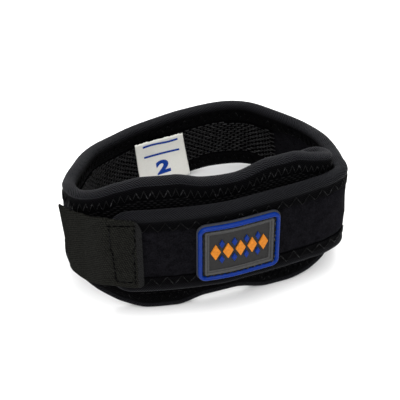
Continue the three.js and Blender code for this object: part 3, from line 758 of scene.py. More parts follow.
upper_tape = edge_tape("upper_edge_tape", 1)
lower_tape = edge_tape("lower_edge_tape", -1)
finish_piece(upper_tape, twill, "edge_tape", "upper_binding")
finish_piece(lower_tape, twill, "edge_tape", "lower_binding")

# %% [markdown]
# ## Threads with Geometry Nodes
#
# Stitches repeat along a path, which is what Geometry Nodes are for. The path is a plain line of points
# that knows which way is across the seam and which way is out of the cloth. One tree moves every other
# point across, bends each leg over the cloth and gives it a round section: a zigzag. Another lays a
# short thread at even steps: a straight seam. A third puts one slanted stitch on each point of a grid,
# for the knitted lining.

# %% Helpers for Geometry Nodes


def new_tree(name, sizes):
    """A tree with a geometry input, one named input for each size, and its output."""
    tree = bpy.data.node_groups.new(name, "GeometryNodeTree")
    tree.interface.new_socket("Geometry", in_out="INPUT", socket_type="NodeSocketGeometry")
    for label in sizes:
        kind = "NodeSocketMaterial" if label == "Material" else "NodeSocketFloat"
        tree.interface.new_socket(label, in_out="INPUT", socket_type=kind)
    tree.interface.new_socket("Geometry", in_out="OUTPUT", socket_type="NodeSocketGeometry")
    start = tree.nodes.new("NodeGroupInput")
    end = tree.nodes.new("NodeGroupOutput")
    return tree, start, end


def attribute(tree, name):
    named = node(tree, "GeometryNodeInputNamedAttribute", data_type="FLOAT_VECTOR")
    named.inputs["Name"].default_value = name
    return named.outputs[0]


def scaled(tree, vector, amount):
    made = node(tree, "ShaderNodeVectorMath", operation="SCALE")
    tree.links.new(vector, made.inputs[0])
    tree.links.new(amount, made.inputs["Scale"])
    return made.outputs[0]


def close_tree(tree, geometry, start, end):
    """Smooth shading, plain geometry and the material, as every tree here ends."""
    smooth = tree.nodes.new("GeometryNodeSetShadeSmooth")
    plain = tree.nodes.new("GeometryNodeRealizeInstances")
    paint = tree.nodes.new("GeometryNodeSetMaterial")
    tree.links.new(geometry, smooth.inputs["Geometry"])
    tree.links.new(smooth.outputs[0], plain.inputs[0])
    tree.links.new(plain.outputs[0], paint.inputs["Geometry"])
    tree.links.new(start.outputs["Material"], paint.inputs["Material"])
    tree.links.new(paint.outputs[0], end.inputs[0])


def path_mesh(name, lines, **vectors):
    """Lines of points, each point with its named directions."""
    points = np.concatenate(lines)
    edges, start = [], 0
    for line in lines:
        edges += [(start + k, start + k + 1) for k in range(len(line) - 1)]
        start += len(line)
    mesh = bpy.data.meshes.new(name)
    mesh.from_pydata([tuple(p) for p in points], edges, [])
    for label, values in vectors.items():
        layer = mesh.attributes.new(label, "FLOAT_VECTOR", "POINT")
        layer.data.foreach_set("vector", np.concatenate(values).ravel())
    return mesh


def grow(name, mesh, tree, **sizes):
    """Runs a tree on a mesh and keeps the plain result."""
    piece = bpy.data.objects.new(name, mesh)
    scene.collection.objects.link(piece)
    modifier = piece.modifiers.new(tree.name, "NODES")
    modifier.node_group = tree
    for item in tree.interface.items_tree:
        label = item.name.lower().replace(" ", "_")
        if item.in_out == "INPUT" and label in sizes:
            modifier[item.identifier] = sizes[label]
    graph = bpy.context.evaluated_depsgraph_get()
    result = bpy.data.meshes.new_from_object(piece.evaluated_get(graph))
    piece.modifiers.remove(modifier)
    piece.data = result
    result.name = name
    return piece


# %% Tree: zigzag seam
zigzag, start, end = new_tree("zigzag seam", ["Pitch", "Reach", "Lift", "Thread Radius", "Material"])
curve = zigzag.nodes.new("GeometryNodeMeshToCurve")
zigzag.links.new(start.outputs["Geometry"], curve.inputs[0])
resample = node(zigzag, "GeometryNodeResampleCurve", mode="LENGTH")
zigzag.links.new(curve.outputs[0], resample.inputs["Curve"])
half_pitch = combine(zigzag, "MULTIPLY", start.outputs["Pitch"], 0.5)
zigzag.links.new(half_pitch, resample.inputs["Length"])
index = zigzag.nodes.new("GeometryNodeInputIndex").outputs[0]
odd = combine(zigzag, "FLOORED_MODULO", index, 2.0)
way = combine(zigzag, "SUBTRACT", combine(zigzag, "MULTIPLY", odd, 2.0), 1.0)
uneven = node(zigzag, "FunctionNodeRandomValue", data_type="FLOAT")
uneven.inputs[2].default_value, uneven.inputs[3].default_value = 0.36, 0.56
uneven.inputs["Seed"].default_value = 11
reach = combine(zigzag, "MULTIPLY", way, combine(zigzag, "MULTIPLY", start.outputs["Reach"], uneven.outputs[1]))
sideways = zigzag.nodes.new("GeometryNodeSetPosition")
zigzag.links.new(resample.outputs[0], sideways.inputs["Geometry"])
zigzag.links.new(scaled(zigzag, attribute(zigzag, "across"), reach), sideways.inputs["Offset"])
finer = zigzag.nodes.new("GeometryNodeSubdivideCurve")
finer.inputs["Cuts"].default_value = 3
zigzag.links.new(sideways.outputs[0], finer.inputs["Curve"])
in_leg = combine(zigzag, "GREATER_THAN", combine(zigzag, "FLOORED_MODULO", index, 4.0), 0.5)
lift = combine(zigzag, "MULTIPLY", combine(zigzag, "SUBTRACT", combine(zigzag, "MULTIPLY", in_leg, 1.5), 0.5),
               start.outputs["Lift"])
outwards = zigzag.nodes.new("GeometryNodeSetPosition")
zigzag.links.new(finer.outputs[0], outwards.inputs["Geometry"])
zigzag.links.new(scaled(zigzag, attribute(zigzag, "out"), lift), outwards.inputs["Offset"])
round_section = node(zigzag, "GeometryNodeCurvePrimitiveCircle", resolution=5)
zigzag.links.new(start.outputs["Thread Radius"], round_section.inputs["Radius"])
tube = zigzag.nodes.new("GeometryNodeCurveToMesh")
tube.inputs["Fill Caps"].default_value = True
zigzag.links.new(outwards.outputs[0], tube.inputs["Curve"])
zigzag.links.new(round_section.outputs[0], tube.inputs["Profile Curve"])
close_tree(zigzag, tube.outputs[0], start, end)

# %% Tree: threads on points, each turned to lie along its own direction


def thread_tree(name, on_curve):
    """Short stitches at even steps along a line, or knitted loops at the points of a cloud.

    A stitch is a slim rounded body. A loop is an arch of yarn whose two feet sink into the cloth.
    """
    tree, start, end = new_tree(name, ["Pitch", "Length", "Width", "Height", "Slant", "Seed", "Material"])
    points = start.outputs["Geometry"]
    if on_curve:
        curve = tree.nodes.new("GeometryNodeMeshToCurve")
        tree.links.new(points, curve.inputs[0])
        steps = node(tree, "GeometryNodeResampleCurve", mode="LENGTH")
        tree.links.new(curve.outputs[0], steps.inputs["Curve"])
        tree.links.new(start.outputs["Pitch"], steps.inputs["Length"])
        points = steps.outputs[0]
        ball = tree.nodes.new("GeometryNodeMeshUVSphere")
        ball.inputs["Segments"].default_value = 8
        ball.inputs["Rings"].default_value = 5
        ball.inputs["Radius"].default_value = 0.5
        turn = node(tree, "GeometryNodeTransform", rotation=(0, math.pi / 2, 0))
        tree.links.new(ball.outputs[0], turn.inputs["Geometry"])
        body = turn.outputs[0]
    else:
        arch = node(tree, "GeometryNodeCurveQuadraticBezier", resolution=6, start=(-0.5, -0.5, -0.5),
                    middle=(0.0, 0.4, 0.9), end=(0.5, -0.5, -0.5))
        round_section = node(tree, "GeometryNodeCurvePrimitiveCircle", resolution=5)
        round_section.inputs["Radius"].default_value = 0.17
        yarn = tree.nodes.new("GeometryNodeCurveToMesh")
        yarn.inputs["Fill Caps"].default_value = True
        tree.links.new(arch.outputs[0], yarn.inputs["Curve"])
        tree.links.new(round_section.outputs[0], yarn.inputs["Profile Curve"])
        body = yarn.outputs[0]
    size = tree.nodes.new("ShaderNodeCombineXYZ")
    for axis, label in zip("XYZ", ("Length", "Width", "Height")):
        tree.links.new(start.outputs[label], size.inputs[axis])
    shaped = tree.nodes.new("GeometryNodeTransform")
    tree.links.new(body, shaped.inputs["Geometry"])
    tree.links.new(size.outputs[0], shaped.inputs["Scale"])
    side = scaled(tree, attribute(tree, "across"), combine(tree, "SINE", start.outputs["Slant"], 0.0))
    ahead = scaled(tree, attribute(tree, "along"), combine(tree, "COSINE", start.outputs["Slant"], 0.0))
    lie = node(tree, "ShaderNodeVectorMath", operation="ADD")
    tree.links.new(side, lie.inputs[0])
    tree.links.new(ahead, lie.inputs[1])
    upright = node(tree, "FunctionNodeAlignRotationToVector", axis="Z")
    tree.links.new(attribute(tree, "out"), upright.inputs["Vector"])
    turned = node(tree, "FunctionNodeAlignRotationToVector", axis="X", pivot_axis="Z")
    tree.links.new(upright.outputs[0], turned.inputs["Rotation"])
    tree.links.new(lie.outputs[0], turned.inputs["Vector"])
    vary = node(tree, "FunctionNodeRandomValue", data_type="FLOAT_VECTOR")
    vary.inputs[0].default_value = (0.88, 0.86, 0.85)
    vary.inputs[1].default_value = (1.1, 1.12, 1.12)
    tree.links.new(start.outputs["Seed"], vary.inputs["Seed"])
    copies = tree.nodes.new("GeometryNodeInstanceOnPoints")
    tree.links.new(points, copies.inputs["Points"])
    tree.links.new(shaped.outputs[0], copies.inputs["Instance"])
    tree.links.new(turned.outputs[0], copies.inputs["Rotation"])
    tree.links.new(vary.outputs[0], copies.inputs["Scale"])
    close_tree(tree, copies.outputs[0], start, end)
    return tree


stitch_tree = thread_tree("straight seam", on_curve=True)
knit_tree = thread_tree("knitted loops", on_curve=False)
print(len(bpy.data.node_groups), "node groups")

# %% [markdown]
# ## The zigzag seams
#
# A zigzag seam holds the inner edge of each tape on both faces of the wall. On the pad its stitches are
# close together, and on the strap they are about twice as long, as in the photograph. Each seam's path
# comes from the same stations as the tape, so it follows the lobes and the rounded ends.

# %% Directions on the wall


def directions(s, v, d, step_s, step_v):
    """Place on the wall and unit directions along a step of the flat strap and out of the wall."""
    place = wrap(s, v, d)
    ahead = wrap(s + 0.2 * step_s, v + 0.2 * step_v, d) - place
    ahead /= np.linalg.norm(ahead, axis=-1, keepdims=True)
    out = wrap(s, v, d + 0.2) - place
    out /= np.linalg.norm(out, axis=-1, keepdims=True)
    return place, ahead, out


def seam_lines(side, face, inward, keep):
    """A line along the tape, on the outer (1) or inner (-1) face, with its two directions."""
    points, across, out = [], [], []
    for station in edge_stations(side, step=1.0)[1:-1]:
        s, v = (float(x[0]) for x in station(np.array([inward])))
        s2, v2 = (float(x[0]) for x in station(np.array([inward + 0.5])))
        if not keep[0] <= s <= keep[1]:
            continue
        shape = outer_face(s) if face > 0 else inner_face(s)
        depth = float(np.interp(inward, shape[::-1, 0][:-1], shape[::-1, 1][:-1]))
        length = math.hypot(s2 - s, v2 - v)
        place, ahead, outward = directions(s, v, (depth + 0.02) * face, (s2 - s) / length, (v2 - v) / length)
        points.append(place)
        across.append(ahead)
        out.append(outward * face)
    return np.array(points), np.array(across), np.array(out)

# %% Grow the seams
pad_part, back_part, strap_part = (0.0, pad_reach), (pad_reach, lap_start), (lap_start, strap_end)
OUTER_TOP, THE_REST = [(1, 1)], [(-1, 1), (1, -1), (-1, -1)]
# The pad's upper outer seam, in full light, gets the thread with the most painted glints. The pad's other seams and the
# back's get the dark and shaded copy, whose darkness is partly painted shade. The strap's seams get the copy between
# the two.
SEAMS = [
    ("pad_zigzag", pad_part, OUTER_TOP, PAD_PITCH, 3.9, 0.17, thread),
    ("pad_dark_zigzag", pad_part, THE_REST, PAD_PITCH, 3.9, 0.16, dark_and_shaded_thread),
    ("back_zigzag", back_part, OUTER_TOP + THE_REST, BACK_PITCH, 4.2, 0.16, dark_and_shaded_thread),
    ("strap_zigzag", strap_part, OUTER_TOP + THE_REST, STRAP_PITCH, 4.2, 0.17, strap_thread),
]
for name, part, places, pitch, reach, radius, finish in SEAMS:
    seams = [seam_lines(side, face, 5.6, part) for side, face in places]
    mesh = path_mesh(name, [p for p, _, _ in seams], across=[a for _, a, _ in seams], out=[o for _, _, o in seams])
    piece = grow(name, mesh, zigzag, pitch=pitch * MM, reach=reach * MM, lift=0.16 * MM, thread_radius=radius * MM,
                 material=finish)
    finish_piece(piece, None, "edge_tape")

# %% [markdown]
# ## The knitted lining
#
# The inner face is lined with a thick knit. Its rows run along the strap, and its stitches lean one way
# in one row and the other way in the next. At this size each stitch catches its own light, so the
# stitches are real threads on a dark ground sheet, not a bump.

# %% Ground sheet of the lining
LINING_INSET = 9.3 + GAP
lining_start, lining_end = PAD_END_RADIUS, lining_reach
ground_depth = CORE_THICKNESS / 2 + GAP + 0.1


def knit_ground_sheet(name, face, start, end, inset):
    """A thin dark sheet under the knit, and the height that it covers."""
    stops = np.linspace(start, end, round((end - start) / 1.6))
    low, high = from_edge(stops, -1, inset), from_edge(stops, 1, inset)
    rings, flat = [], []
    for s, a, b in zip(stops, low, high):
        v = np.linspace(a, b, 14)
        near, far = wrap(s, v, face * ground_depth), wrap(s, v[::-1], face * (ground_depth + 0.3))
        rings.append(np.concatenate([near, far]))
        flat += [(s * MM, h * MM) for h in (*v, *v[::-1])]
    verts, faces = skin_from_rings(rings)
    area = float(np.trapz(high - low, stops)) * MM * MM
    return add_piece(name, verts, faces, flat), float((high - low).max()) * MM, area


ground, tallest, ground_area = knit_ground_sheet("lining_ground", -1, lining_start, lining_end, LINING_INSET)
finish_piece(ground, knit_ground, "knitted_mesh", "mesh_lining")
pad_ground, pad_tallest, pad_area = knit_ground_sheet("pad_ground", 1, 10, row_place(13.2), 7.3)
finish_piece(pad_ground, knit_ground, "knitted_mesh")

# %% Loops of the knit
LOOP_PITCH, LOOP_ROW = 3.2, 1.25
PAD_LOOP_PITCH, PAD_LOOP_ROW, PAD_LOOP_BAND = 2.4, 1.0, 14.0


def knit_cloud(name, face, start, end, inset, depth, pitch=LOOP_PITCH, spacing=LOOP_ROW, band=100.0):
    """Points of a brick pattern between the tapes, no further than a band's width from a tape.

    Each point has the directions that a loop needs.
    """
    points, along, across, out = [], [], [], []
    for row in range(-26, 27):
        s = np.arange(start + 1.2, end - 1.2, pitch) + (pitch / 2 if row % 2 else 0)
        v = middle_height(s) + row * spacing
        above, below = v - from_edge(s, -1, inset), from_edge(s, 1, inset) - v
        keep = (above > 0.5) & (below > 0.3) & (np.minimum(above, below) < band)
        if keep.any():
            s, v = s[keep], v[keep]
            place, ahead, outward = directions(s, v, face * depth, 1, 0)
            points.append(place)
            along.append(ahead * -face)
            out.append(outward * face)
            across.append(np.cross(outward * face, ahead * -face))
    return path_mesh(name, [np.concatenate(points)], **{
        "along": [np.concatenate(along)], "across": [np.concatenate(across)], "out": [np.concatenate(out)]})


cloud = knit_cloud("knit", -1, lining_start, lining_end, LINING_INSET, ground_depth + 0.42)
knit = grow("lining_knit", cloud, knit_tree, length=2.5 * MM, width=1.75 * MM, height=1.5 * MM, slant=0.0, seed=3,
            material=knit_thread)
finish_piece(knit, None, "knitted_mesh")
cloud = knit_cloud("knit", 1, 9, row_place(13.2), 7.2, ground_depth + 0.3, PAD_LOOP_PITCH, PAD_LOOP_ROW, PAD_LOOP_BAND)
pad_knit = grow("pad_knit", cloud, knit_tree, length=1.95 * MM, width=1.6 * MM, height=1.0 * MM, slant=0.0, seed=4,
                material=pad_shaded_thread)
finish_piece(pad_knit, None, "knitted_mesh")

# %% [markdown]
# ## The hook tab
#
# The tab is a length of hook tape, sewn on the strap's end with a box of straight stitches. It is stiff,
# so it hardly follows the wall, and its free end stands off at the upper corner. It is one sheet with a
# little thickness and a worn, softly rounded edge.

# %% Tab sheet
TAB_WIDTH, TAB_HALF, TAB_THICKNESS, TAB_DROP, TAB_TURN = 33.2, 15.4, 1.0, -0.5, 3.0
TAB_TOP_CORNER, TAB_LOW_CORNER, TAB_FREE_CORNER = 4.5, 2.5, 2.0
TAB_FAN = 0.0027
TAB_TOP = np.array([(-15.4, 15.8), (-13.6, 17.0), (-12.2, 17.3), (-9.3, 17.9), (-7.1, 18.2), (-5.0, 18.4),
                    (-3.2, 18.3), (-1.2, 17.6), (0.8, 16.8), (3.0, 16.1), (5.4, 15.7), (9.8, 15.4), (13.0, 15.5),
                    (15.4, 16.7)])
TAB_FOOT = np.array([(-15.4, -16.3), (-13.1, -16.2), (-7.9, -15.4), (-4.5, -15.0), (-2.5, -15.1), (-0.1, -16.0),
                     (2.0, -16.8), (3.8, -17.3), (6.5, -18.0), (8.4, -18.2), (11.5, -17.3), (15.4, -15.6)])
BOX = [(-5.0, 15.0), (-4.7, 5.6), (-4.6, 4.0), (-5.1, 2.6), (-5.2, -12.2), (-8.4, -12.8), (-12.0, -13.3), (-12.2, -1.0),
       (-11.7, 1.2), (-12.8, 4.5), (-12.9, 14.8), (-8.0, 15.3), (-5.0, 15.0)]
SEAM_DENT, SEAM_DENT_WIDTH = 0.38, 0.55
tab_near = wall_half + GAP
tab_middle = float(middle_height(strap_end)) - TAB_DROP


def on_tab(along, up):
    """Flat strap place of a point of the tab, measured from the tab's own middle."""
    turn = math.radians(TAB_TURN)
    along = along * (1 + TAB_FAN * up)
    s = tab_start + TAB_LENGTH / 2 + along * math.cos(turn) + up * math.sin(turn)
    return s, tab_middle + up * math.cos(turn) - along * math.sin(turn)


def tab_lift(along, up):
    """How far the tab's free end stands off, most at its upper corner."""
    free = np.clip((along - 11) / 4.4, 0, 1) ** 2
    return free * (0.2 + 0.4 * np.clip((up + 4) / 20, 0, 1))


def seam_dent(along, up):
    """How deep the box of stitches pulls the tab in, from the distance to its lines."""
    nearest = np.full(np.shape(up), 99.0)
    for (x0, y0), (x1, y1) in zip(BOX, BOX[1:]):
        length = (x1 - x0) ** 2 + (y1 - y0) ** 2
        share = np.clip(((along - x0) * (x1 - x0) + (up - y0) * (y1 - y0)) / length, 0, 1)
        nearest = np.minimum(nearest, np.hypot(along - x0 - share * (x1 - x0), up - y0 - share * (y1 - y0)))
    return SEAM_DENT * np.exp(-(nearest / SEAM_DENT_WIDTH) ** 2)


def tab_surface(along, up, depth):
    s, v = on_tab(along, up)
    over = np.clip(s - path_length, 0, None)
    place = wrap(np.minimum(s, path_length), v, depth + tab_lift(along, up))
    ahead = wrap(path_length, v, depth) - wrap(path_length - 0.5, v, depth)
    return place + over[..., None] * ahead / 0.5


rings, flat, strip = [], [], []
for along in np.concatenate([-TAB_HALF + 4 * (1 - np.cos(np.linspace(0, math.pi / 2, 13))),
                             np.arange(-11.1, -3.0, 0.35), np.arange(-2.9, 13.6, 0.8), [14.0, 14.5, 14.9, 15.2, TAB_HALF]]):
    from_sewn_end, from_free_end = along + TAB_HALF, TAB_HALF - along
    top_edge = np.interp(along, *TAB_TOP.T) - corner_cut(from_sewn_end, TAB_TOP_CORNER)
    foot_edge = np.interp(along, *TAB_FOOT.T) + corner_cut(from_sewn_end, TAB_LOW_CORNER)
    foot_edge += corner_cut(from_free_end, TAB_FREE_CORNER)
    frayed = 0.1 * waver(along, 2, 9)
    up = np.linspace(foot_edge + frayed, top_edge + frayed, 72)
    rounded = np.zeros_like(up)
    rounded[[0, -1]] = 0.25
    a = np.full_like(up, along)
    near = tab_surface(a, up, tab_near + rounded)
    far = tab_surface(a, up, tab_near + TAB_THICKNESS - rounded - seam_dent(a, up))
    rings.append(np.concatenate([near, far[::-1]]))
    strip += [float(along < -13.1)] * (2 * len(up))
    flat += [(along * MM, h * MM) for h in (*up, *up[::-1])]
verts, faces = skin_from_rings(rings)
tab = add_piece("hook_tab_sheet", verts, faces, flat, marks={"strip": strip})
finish_piece(tab, hook_cloth, "hook_tape", "hook_tab")

# %% Box of stitches on the tab
box_line = []
for (x0, y0), (x1, y1) in zip(BOX, BOX[1:]):
    count = max(2, round(math.hypot(x1 - x0, y1 - y0) / 0.8))
    box_line += [(x0 + (x1 - x0) * k / count, y0 + (y1 - y0) * k / count) for k in range(count)]
box_line = np.array(box_line + [BOX[-1]])
face = tab_surface(box_line[:, 0], box_line[:, 1], tab_near + TAB_THICKNESS - 0.25)
above = tab_surface(box_line[:, 0], box_line[:, 1], tab_near + TAB_THICKNESS + 0.3)
box_out = (above - face) / np.linalg.norm(above - face, axis=1, keepdims=True)
box_along = np.gradient(face, axis=0)
box_along /= np.linalg.norm(box_along, axis=1, keepdims=True)
mesh = path_mesh("tab_box", [face], along=[box_along], across=[np.cross(box_out, box_along)], out=[box_out])
box_seam = grow("tab_box_stitches", mesh, stitch_tree, pitch=2.3 * MM, length=2.0 * MM, width=0.6 * MM,
                height=0.5 * MM, slant=0.12, seed=5, material=dark_and_shaded_thread)
finish_piece(box_seam, None, "hook_tape")

# %% [markdown]
# ## The moulded patch
#
# The patch is soft plastic, moulded in one piece with a blue rim, a sewn groove and a raised frame. The
# product's own lettering is left out. A row of diamonds in the same colours and of the same size stands
# in its place. Each part of the patch is a profile carried round a rounded rectangle, with small radii,
# because a mould never gives a sharp edge.

# %% Patch loops
PATCH_LENGTH, PATCH_HEIGHT, PATCH_CORNER = 32.5, 27.0, 3.6
BASE_THICKNESS, LIP, RIM_WIDTH, RIM_RISE = 1.2, 0.4, 1.7, 1.3
GROOVE, FRAME_WIDTH, FRAME_RISE, PATCH_FROM_TAB = 0.7, 1.9, 0.7, 20
SHELF_WIDTH, SHELF_RISE = 0.85, 0.38
patch_s = tab_start - PATCH_FROM_TAB - PATCH_LENGTH / 2
patch_v = float(middle_height(patch_s))
patch_back = wall_half + GAP
patch_face = patch_back + BASE_THICKNESS


def on_patch(x, y, depth):
    return wrap(patch_s - x, patch_v + y, depth)


def patch_loop(inset):
    """Points round the patch at a distance in from its edge, evenly numbered for every inset."""
    radius = max(PATCH_CORNER - inset, 0.35)
    half_x, half_y = PATCH_LENGTH / 2 - inset - radius, PATCH_HEIGHT / 2 - inset - radius
    points = []
    for right, up, begin in ((1, 1, 0), (-1, 1, 90), (-1, -1, 180), (1, -1, 270)):
        for turn in np.radians(begin + np.linspace(0, 90, 8)):
            points.append((right * max(half_x, 0) + radius * math.cos(turn),
                           up * max(half_y, 0) + radius * math.sin(turn)))
        x, y = points[-1]
        to_x, to_y = ((-x, y) if begin in (0, 180) else (x, -y))
        points += [(x + (to_x - x) * k / 14, y + (to_y - y) * k / 14) for k in range(1, 14)]
    return np.array(points)


def carried(name, profile, closed, material):
    """A profile of (inset, depth) pairs carried round the patch."""
    loops = [patch_loop(inset) for inset, _ in profile]
    rings = [on_patch(loop[:, 0], loop[:, 1], depth) for loop, (_, depth) in zip(loops, profile)]
    count = len(loops[0])
    verts = np.concatenate(rings)
    faces = grid_faces(len(rings), count, closed_rows=closed)
    if not closed:
        faces += [tuple(range(count))[::-1], tuple((len(rings) - 1) * count + k for k in range(count))]
    return add_piece(name, verts, faces, np.concatenate(loops) * MM)

# %% Patch base, rim and frame
base_profile = [(0.35, patch_back), (0.08, patch_back + 0.12), (0.0, patch_back + 0.35), (0.0, patch_face - 0.3),
                (0.1, patch_face - 0.08), (0.3, patch_face)]
base_profile += [(inset, patch_face) for inset in (0.8, 1.6, 2.4, 2.9, 3.3, 4.4, 5.2, 6.5, 8, 10, 12, 13)]
patch = carried("patch_base_plate", base_profile, False, None)
for finish in (plastic_lip, plastic_panel):
    patch.data.materials.append(finish)
for polygon in patch.data.polygons:
    x, y = (c / MM for c in patch.data.uv_layers["cloth"].data[polygon.loop_start].uv)
    deep = min(PATCH_LENGTH / 2 - abs(x), PATCH_HEIGHT / 2 - abs(y)) > 1.2
    polygon.material_index = 1 if deep else 0
finish_piece(patch, None, "moulded_grey", "patch_base")
centre, radius = LIP + RIM_WIDTH / 2, RIM_WIDTH / 2
rim_profile = [(centre - radius * math.cos(t), patch_face - 0.15 + (RIM_RISE + 0.35) * math.sin(t) ** 0.8)
               for t in np.linspace(0, math.pi, 11)]
rim = carried("patch_blue_rim", rim_profile, True, None)
finish_piece(rim, plastic_blue, "moulded_blue", "patch_rim")
inner, outer = LIP + RIM_WIDTH + GROOVE, LIP + RIM_WIDTH + GROOVE + FRAME_WIDTH
step, top, shelf = outer - SHELF_WIDTH, patch_face + FRAME_RISE + 0.15, patch_face + SHELF_RISE
frame_profile = [(inner, patch_face - 0.15), (inner + 0.04, top - 0.28), (inner + 0.16, top - 0.08), (inner + 0.34, top),
                 (step - 0.34, top), (step - 0.16, top - 0.08), (step - 0.05, top - 0.25), (step, shelf - 0.1),
                 (step + 0.1, shelf - 0.12), (step + 0.2, shelf), (outer - 0.25, shelf), (outer - 0.08, shelf - 0.08),
                 (outer, patch_face - 0.15)]
patch_frame = carried("patch_inner_frame", frame_profile, True, None)
finish_piece(patch_frame, plastic_frame, "moulded_grey", "patch_frame")

# %% Stitches in the patch's groove
groove_loop = patch_loop(LIP + RIM_WIDTH + 0.3)
groove_loop = np.concatenate([groove_loop, groove_loop[:1]])
face = on_patch(groove_loop[:, 0], groove_loop[:, 1], patch_face + 0.55)
above = on_patch(groove_loop[:, 0], groove_loop[:, 1], patch_face + 0.9)
groove_out = (above - face) / np.linalg.norm(above - face, axis=1, keepdims=True)
groove_along = np.gradient(face, axis=0)
groove_along /= np.linalg.norm(groove_along, axis=1, keepdims=True)
mesh = path_mesh("groove", [face], along=[groove_along], across=[np.cross(groove_out, groove_along)], out=[groove_out])
groove_seam = grow("patch_stitches", mesh, stitch_tree, pitch=2.6 * MM, length=2.2 * MM, width=0.62 * MM,
                   height=0.6 * MM, slant=0.2, seed=7, material=thread)
finish_piece(groove_seam, None, "moulded_grey")

# %% Diamonds
BIG, BIG_HEIGHT, SMALL_HEIGHT, DIAMOND_RISE, DIAMOND_SPACE = 5, 7.6, 4.0, 0.6, 0.7
pitch = (PATCH_LENGTH - 2 * outer) / BIG
wide = pitch - DIAMOND_SPACE


def diamond(x, y, width, height):
    """Rings of one soft-edged diamond, from its foot to its top."""
    rings = []
    for scale, depth in ((1, -0.15), (1, 0.35), (0.96, 0.52), (0.88, DIAMOND_RISE)):
        round_by = 0.06
        points = []
        for k in range(4):
            here = np.array([(1, 0), (0, 1), (-1, 0), (0, -1)][k], float)
            before, after = (np.array([(1, 0), (0, 1), (-1, 0), (0, -1)][(k + step) % 4], float) for step in (-1, 1))
            points += [here + round_by * (before - here), here * (1 - 0.35 * round_by), here + round_by * (after - here)]
        points = np.array(points) * scale * (width / 2, height / 2)
        rings.append(on_patch(x + points[:, 0], y + points[:, 1], patch_face + depth))
    return rings


def diamond_row(name, places, width, height, material, slot_name, nodes):
    verts, faces, start = [], [], 0
    for x, y in places:
        more, skin = skin_from_rings(diamond(x, y, width, height))
        verts.append(more)
        faces += [tuple(start + k for k in face) for face in skin]
        start += len(more)
    piece = add_piece(name, np.concatenate(verts), faces, smooth=False)
    finish_piece(piece, material, slot_name, *nodes)


big_places = [((k - (BIG - 1) / 2) * pitch, 0) for k in range(BIG)]
small_places = [((k - (BIG - 2) / 2) * pitch, side * BIG_HEIGHT / 2) for side in (1, -1) for k in range(BIG - 1)]
diamond_row("patch_orange_diamonds", big_places, wide, BIG_HEIGHT, plastic_orange, "moulded_orange",
            [f"patch_big_diamond_{k}" for k in range(1, 6)])
diamond_row("patch_blue_diamonds", small_places, wide * SMALL_HEIGHT / BIG_HEIGHT, SMALL_HEIGHT, plastic_blue,
            "moulded_blue", [f"patch_small_diamond_{row}_{k}" for row in ("upper", "lower") for k in range(1, 5)])

# %% [markdown]
# ## The size label
#
# A white woven label is sewn in at the lower edge of the back wall and stands up against the lining. Its
# print here is only two plain lines and a number. The print is a thin layer just above the cloth.

# %% Label sheet
LABEL_LENGTH, LABEL_HEIGHT, LABEL_SLANT = 23.0, 29.7, 6.5
LABEL_LEFT_MORE = 3.0
label_s = row_place(19.43) - 10.4


def on_label(x, y, depth):
    """A point of the label: x along the strap from its start, y up from its sewn edge."""
    s = label_s + x - LABEL_SLANT * y / LABEL_HEIGHT
    v = read("low", label_s + x) + GAP + y
    curl = 0.25 * np.sin(x / LABEL_LENGTH * 2.6 + 0.4) * (y / LABEL_HEIGHT) + 0.12 * np.sin(y / 4.0)
    return wrap(s, v, -(wall_half + GAP) - depth - np.clip(curl, 0, None) * np.clip(y / 6, 0, 1))


rings, flat = [], []
for x in np.linspace(0, LABEL_LENGTH, 45):
    ragged = 0.22 * float(waver(x, 4, 5)) + 0.18 * float(waver(x, 6, 1.7))
    cut_height = LABEL_HEIGHT + LABEL_LEFT_MORE * (1 - x / LABEL_LENGTH)
    y = np.linspace(0, cut_height + ragged, 26)
    near, far = on_label(x, y, 0.0), on_label(x, y, 0.32)
    rings.append(np.concatenate([near, far[::-1]]))
    flat += [(x * MM, h * MM) for h in (*y, *y[::-1])]
verts, faces = skin_from_rings(rings)
label = add_piece("size_label_sheet", verts, faces, flat)
finish_piece(label, label_cloth, "woven_label", "size_label")

# %% Print on the label


def printed_line(y_left, y_right, bow, x0=3.6, x1=20.3, thick=1.2):
    """A thin bar across the label, bowed a little."""
    x = np.linspace(x0, x1, 24)
    share = (x - x0) / (x1 - x0)
    y = y_left + (y_right - y_left) * share + bow * np.sin(share * 2 * math.pi)
    ring = [on_label(x, y - thick / 2, 0.38), on_label(x, y + thick / 2, 0.38),
            on_label(x, y + thick / 2, 0.48), on_label(x, y - thick / 2, 0.48)]
    return skin_from_rings(np.stack(ring, axis=1))


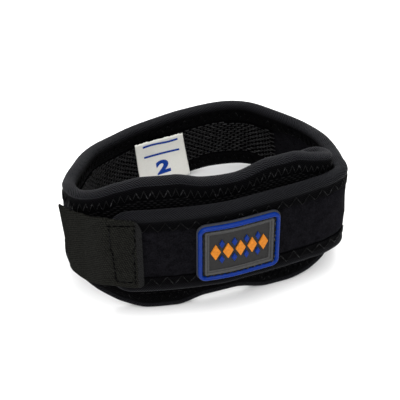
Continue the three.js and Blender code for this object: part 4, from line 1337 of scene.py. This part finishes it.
def printed_number(text, x_middle, y_foot, height):
    """The outline of a number, laid on the label."""
    curve = bpy.data.curves.new("number", "FONT")
    curve.body = text
    curve.extrude = 0.5
    curve.offset = 0.045
    holder = bpy.data.objects.new("number", curve)
    scene.collection.objects.link(holder)
    graph = bpy.context.evaluated_depsgraph_get()
    mesh = bpy.data.meshes.new_from_object(holder.evaluated_get(graph))
    bpy.data.objects.remove(holder)
    points = np.array([v.co for v in mesh.vertices])
    low, high = points.min(axis=0), points.max(axis=0)
    size = height / (high[1] - low[1])
    x = x_middle + (points[:, 0] - (low[0] + high[0]) / 2) * size
    y = y_foot + (points[:, 1] - low[1]) * size
    depth = np.where(points[:, 2] > 0, 0.48, 0.38)
    return on_label(x, y, depth), [tuple(p.vertices) for p in mesh.polygons]


parts = [printed_line(29.4, 27.3, 0.35), printed_line(22.1, 19.8, 0.0), printed_number("2", 11.6, 6.7, 9.6)]
verts = np.concatenate([v for v, _ in parts])
offsets = np.cumsum([0] + [len(v) for v, _ in parts])
faces = [tuple(int(start) + k for k in face) for start, (_, own) in zip(offsets, parts) for face in own]
label_marks = add_piece("label_print", verts, faces, smooth=False)
finish_piece(label_marks, label_print, "woven_label")

# %% [markdown]
# ## Floor and light
#
# The photograph is lit by large soft lights over a white ground. A big light from above and in front and a
# weaker one from above and behind light the strap, and a white world fills in. The pale edge on the rims
# comes from these lights and from the highlight painted into the tape's colour.

# %% Floor, lights and world
floor_material, tree, shader = new_material("pale floor", (0.96, 0.96, 0.96), 0.9)
two_tones(tree, shader, object_noise(tree, 0.4), (0.95, 0.95, 0.95), (0.97, 0.97, 0.97))
floor = add_piece("floor", [(-4, -4, 0), (4, -4, 0), (4, 4, 0), (-4, 4, 0)], [(0, 1, 2, 3)])
floor.data.materials.append(floor_material)


def soft_light(name, place, aim, size, power):
    data = bpy.data.lights.new(name, "AREA")
    data.shape = "DISK"
    data.size = size
    data.energy = power
    lamp = bpy.data.objects.new(name, data)
    lamp.location = place
    direction = np.array(aim) - np.array(place)
    flat_length = math.hypot(direction[0], direction[1])
    lamp.rotation_euler = (math.atan2(flat_length, -direction[2]), 0, math.atan2(-direction[0], direction[1]))
    scene.collection.objects.link(lamp)


soft_light("key", (-0.15, -0.45, 1.05), (0, 0, 0.03), 1.5, 17)
soft_light("back", (0.15, 0.75, 0.75), (0, 0, 0.03), 0.5, 5.5)
world = bpy.data.worlds.new("studio")
world.use_nodes = True
world.node_tree.nodes["Background"].inputs["Color"].default_value = (1, 1, 1, 1)
world.node_tree.nodes["Background"].inputs["Strength"].default_value = 0.80
scene.world = world
scene.view_settings.view_transform = "Standard"

# %% [markdown]
# ## Last step
#
# The scene is brought up to date once more.

# %% Update the scene
bpy.context.view_layer.update()
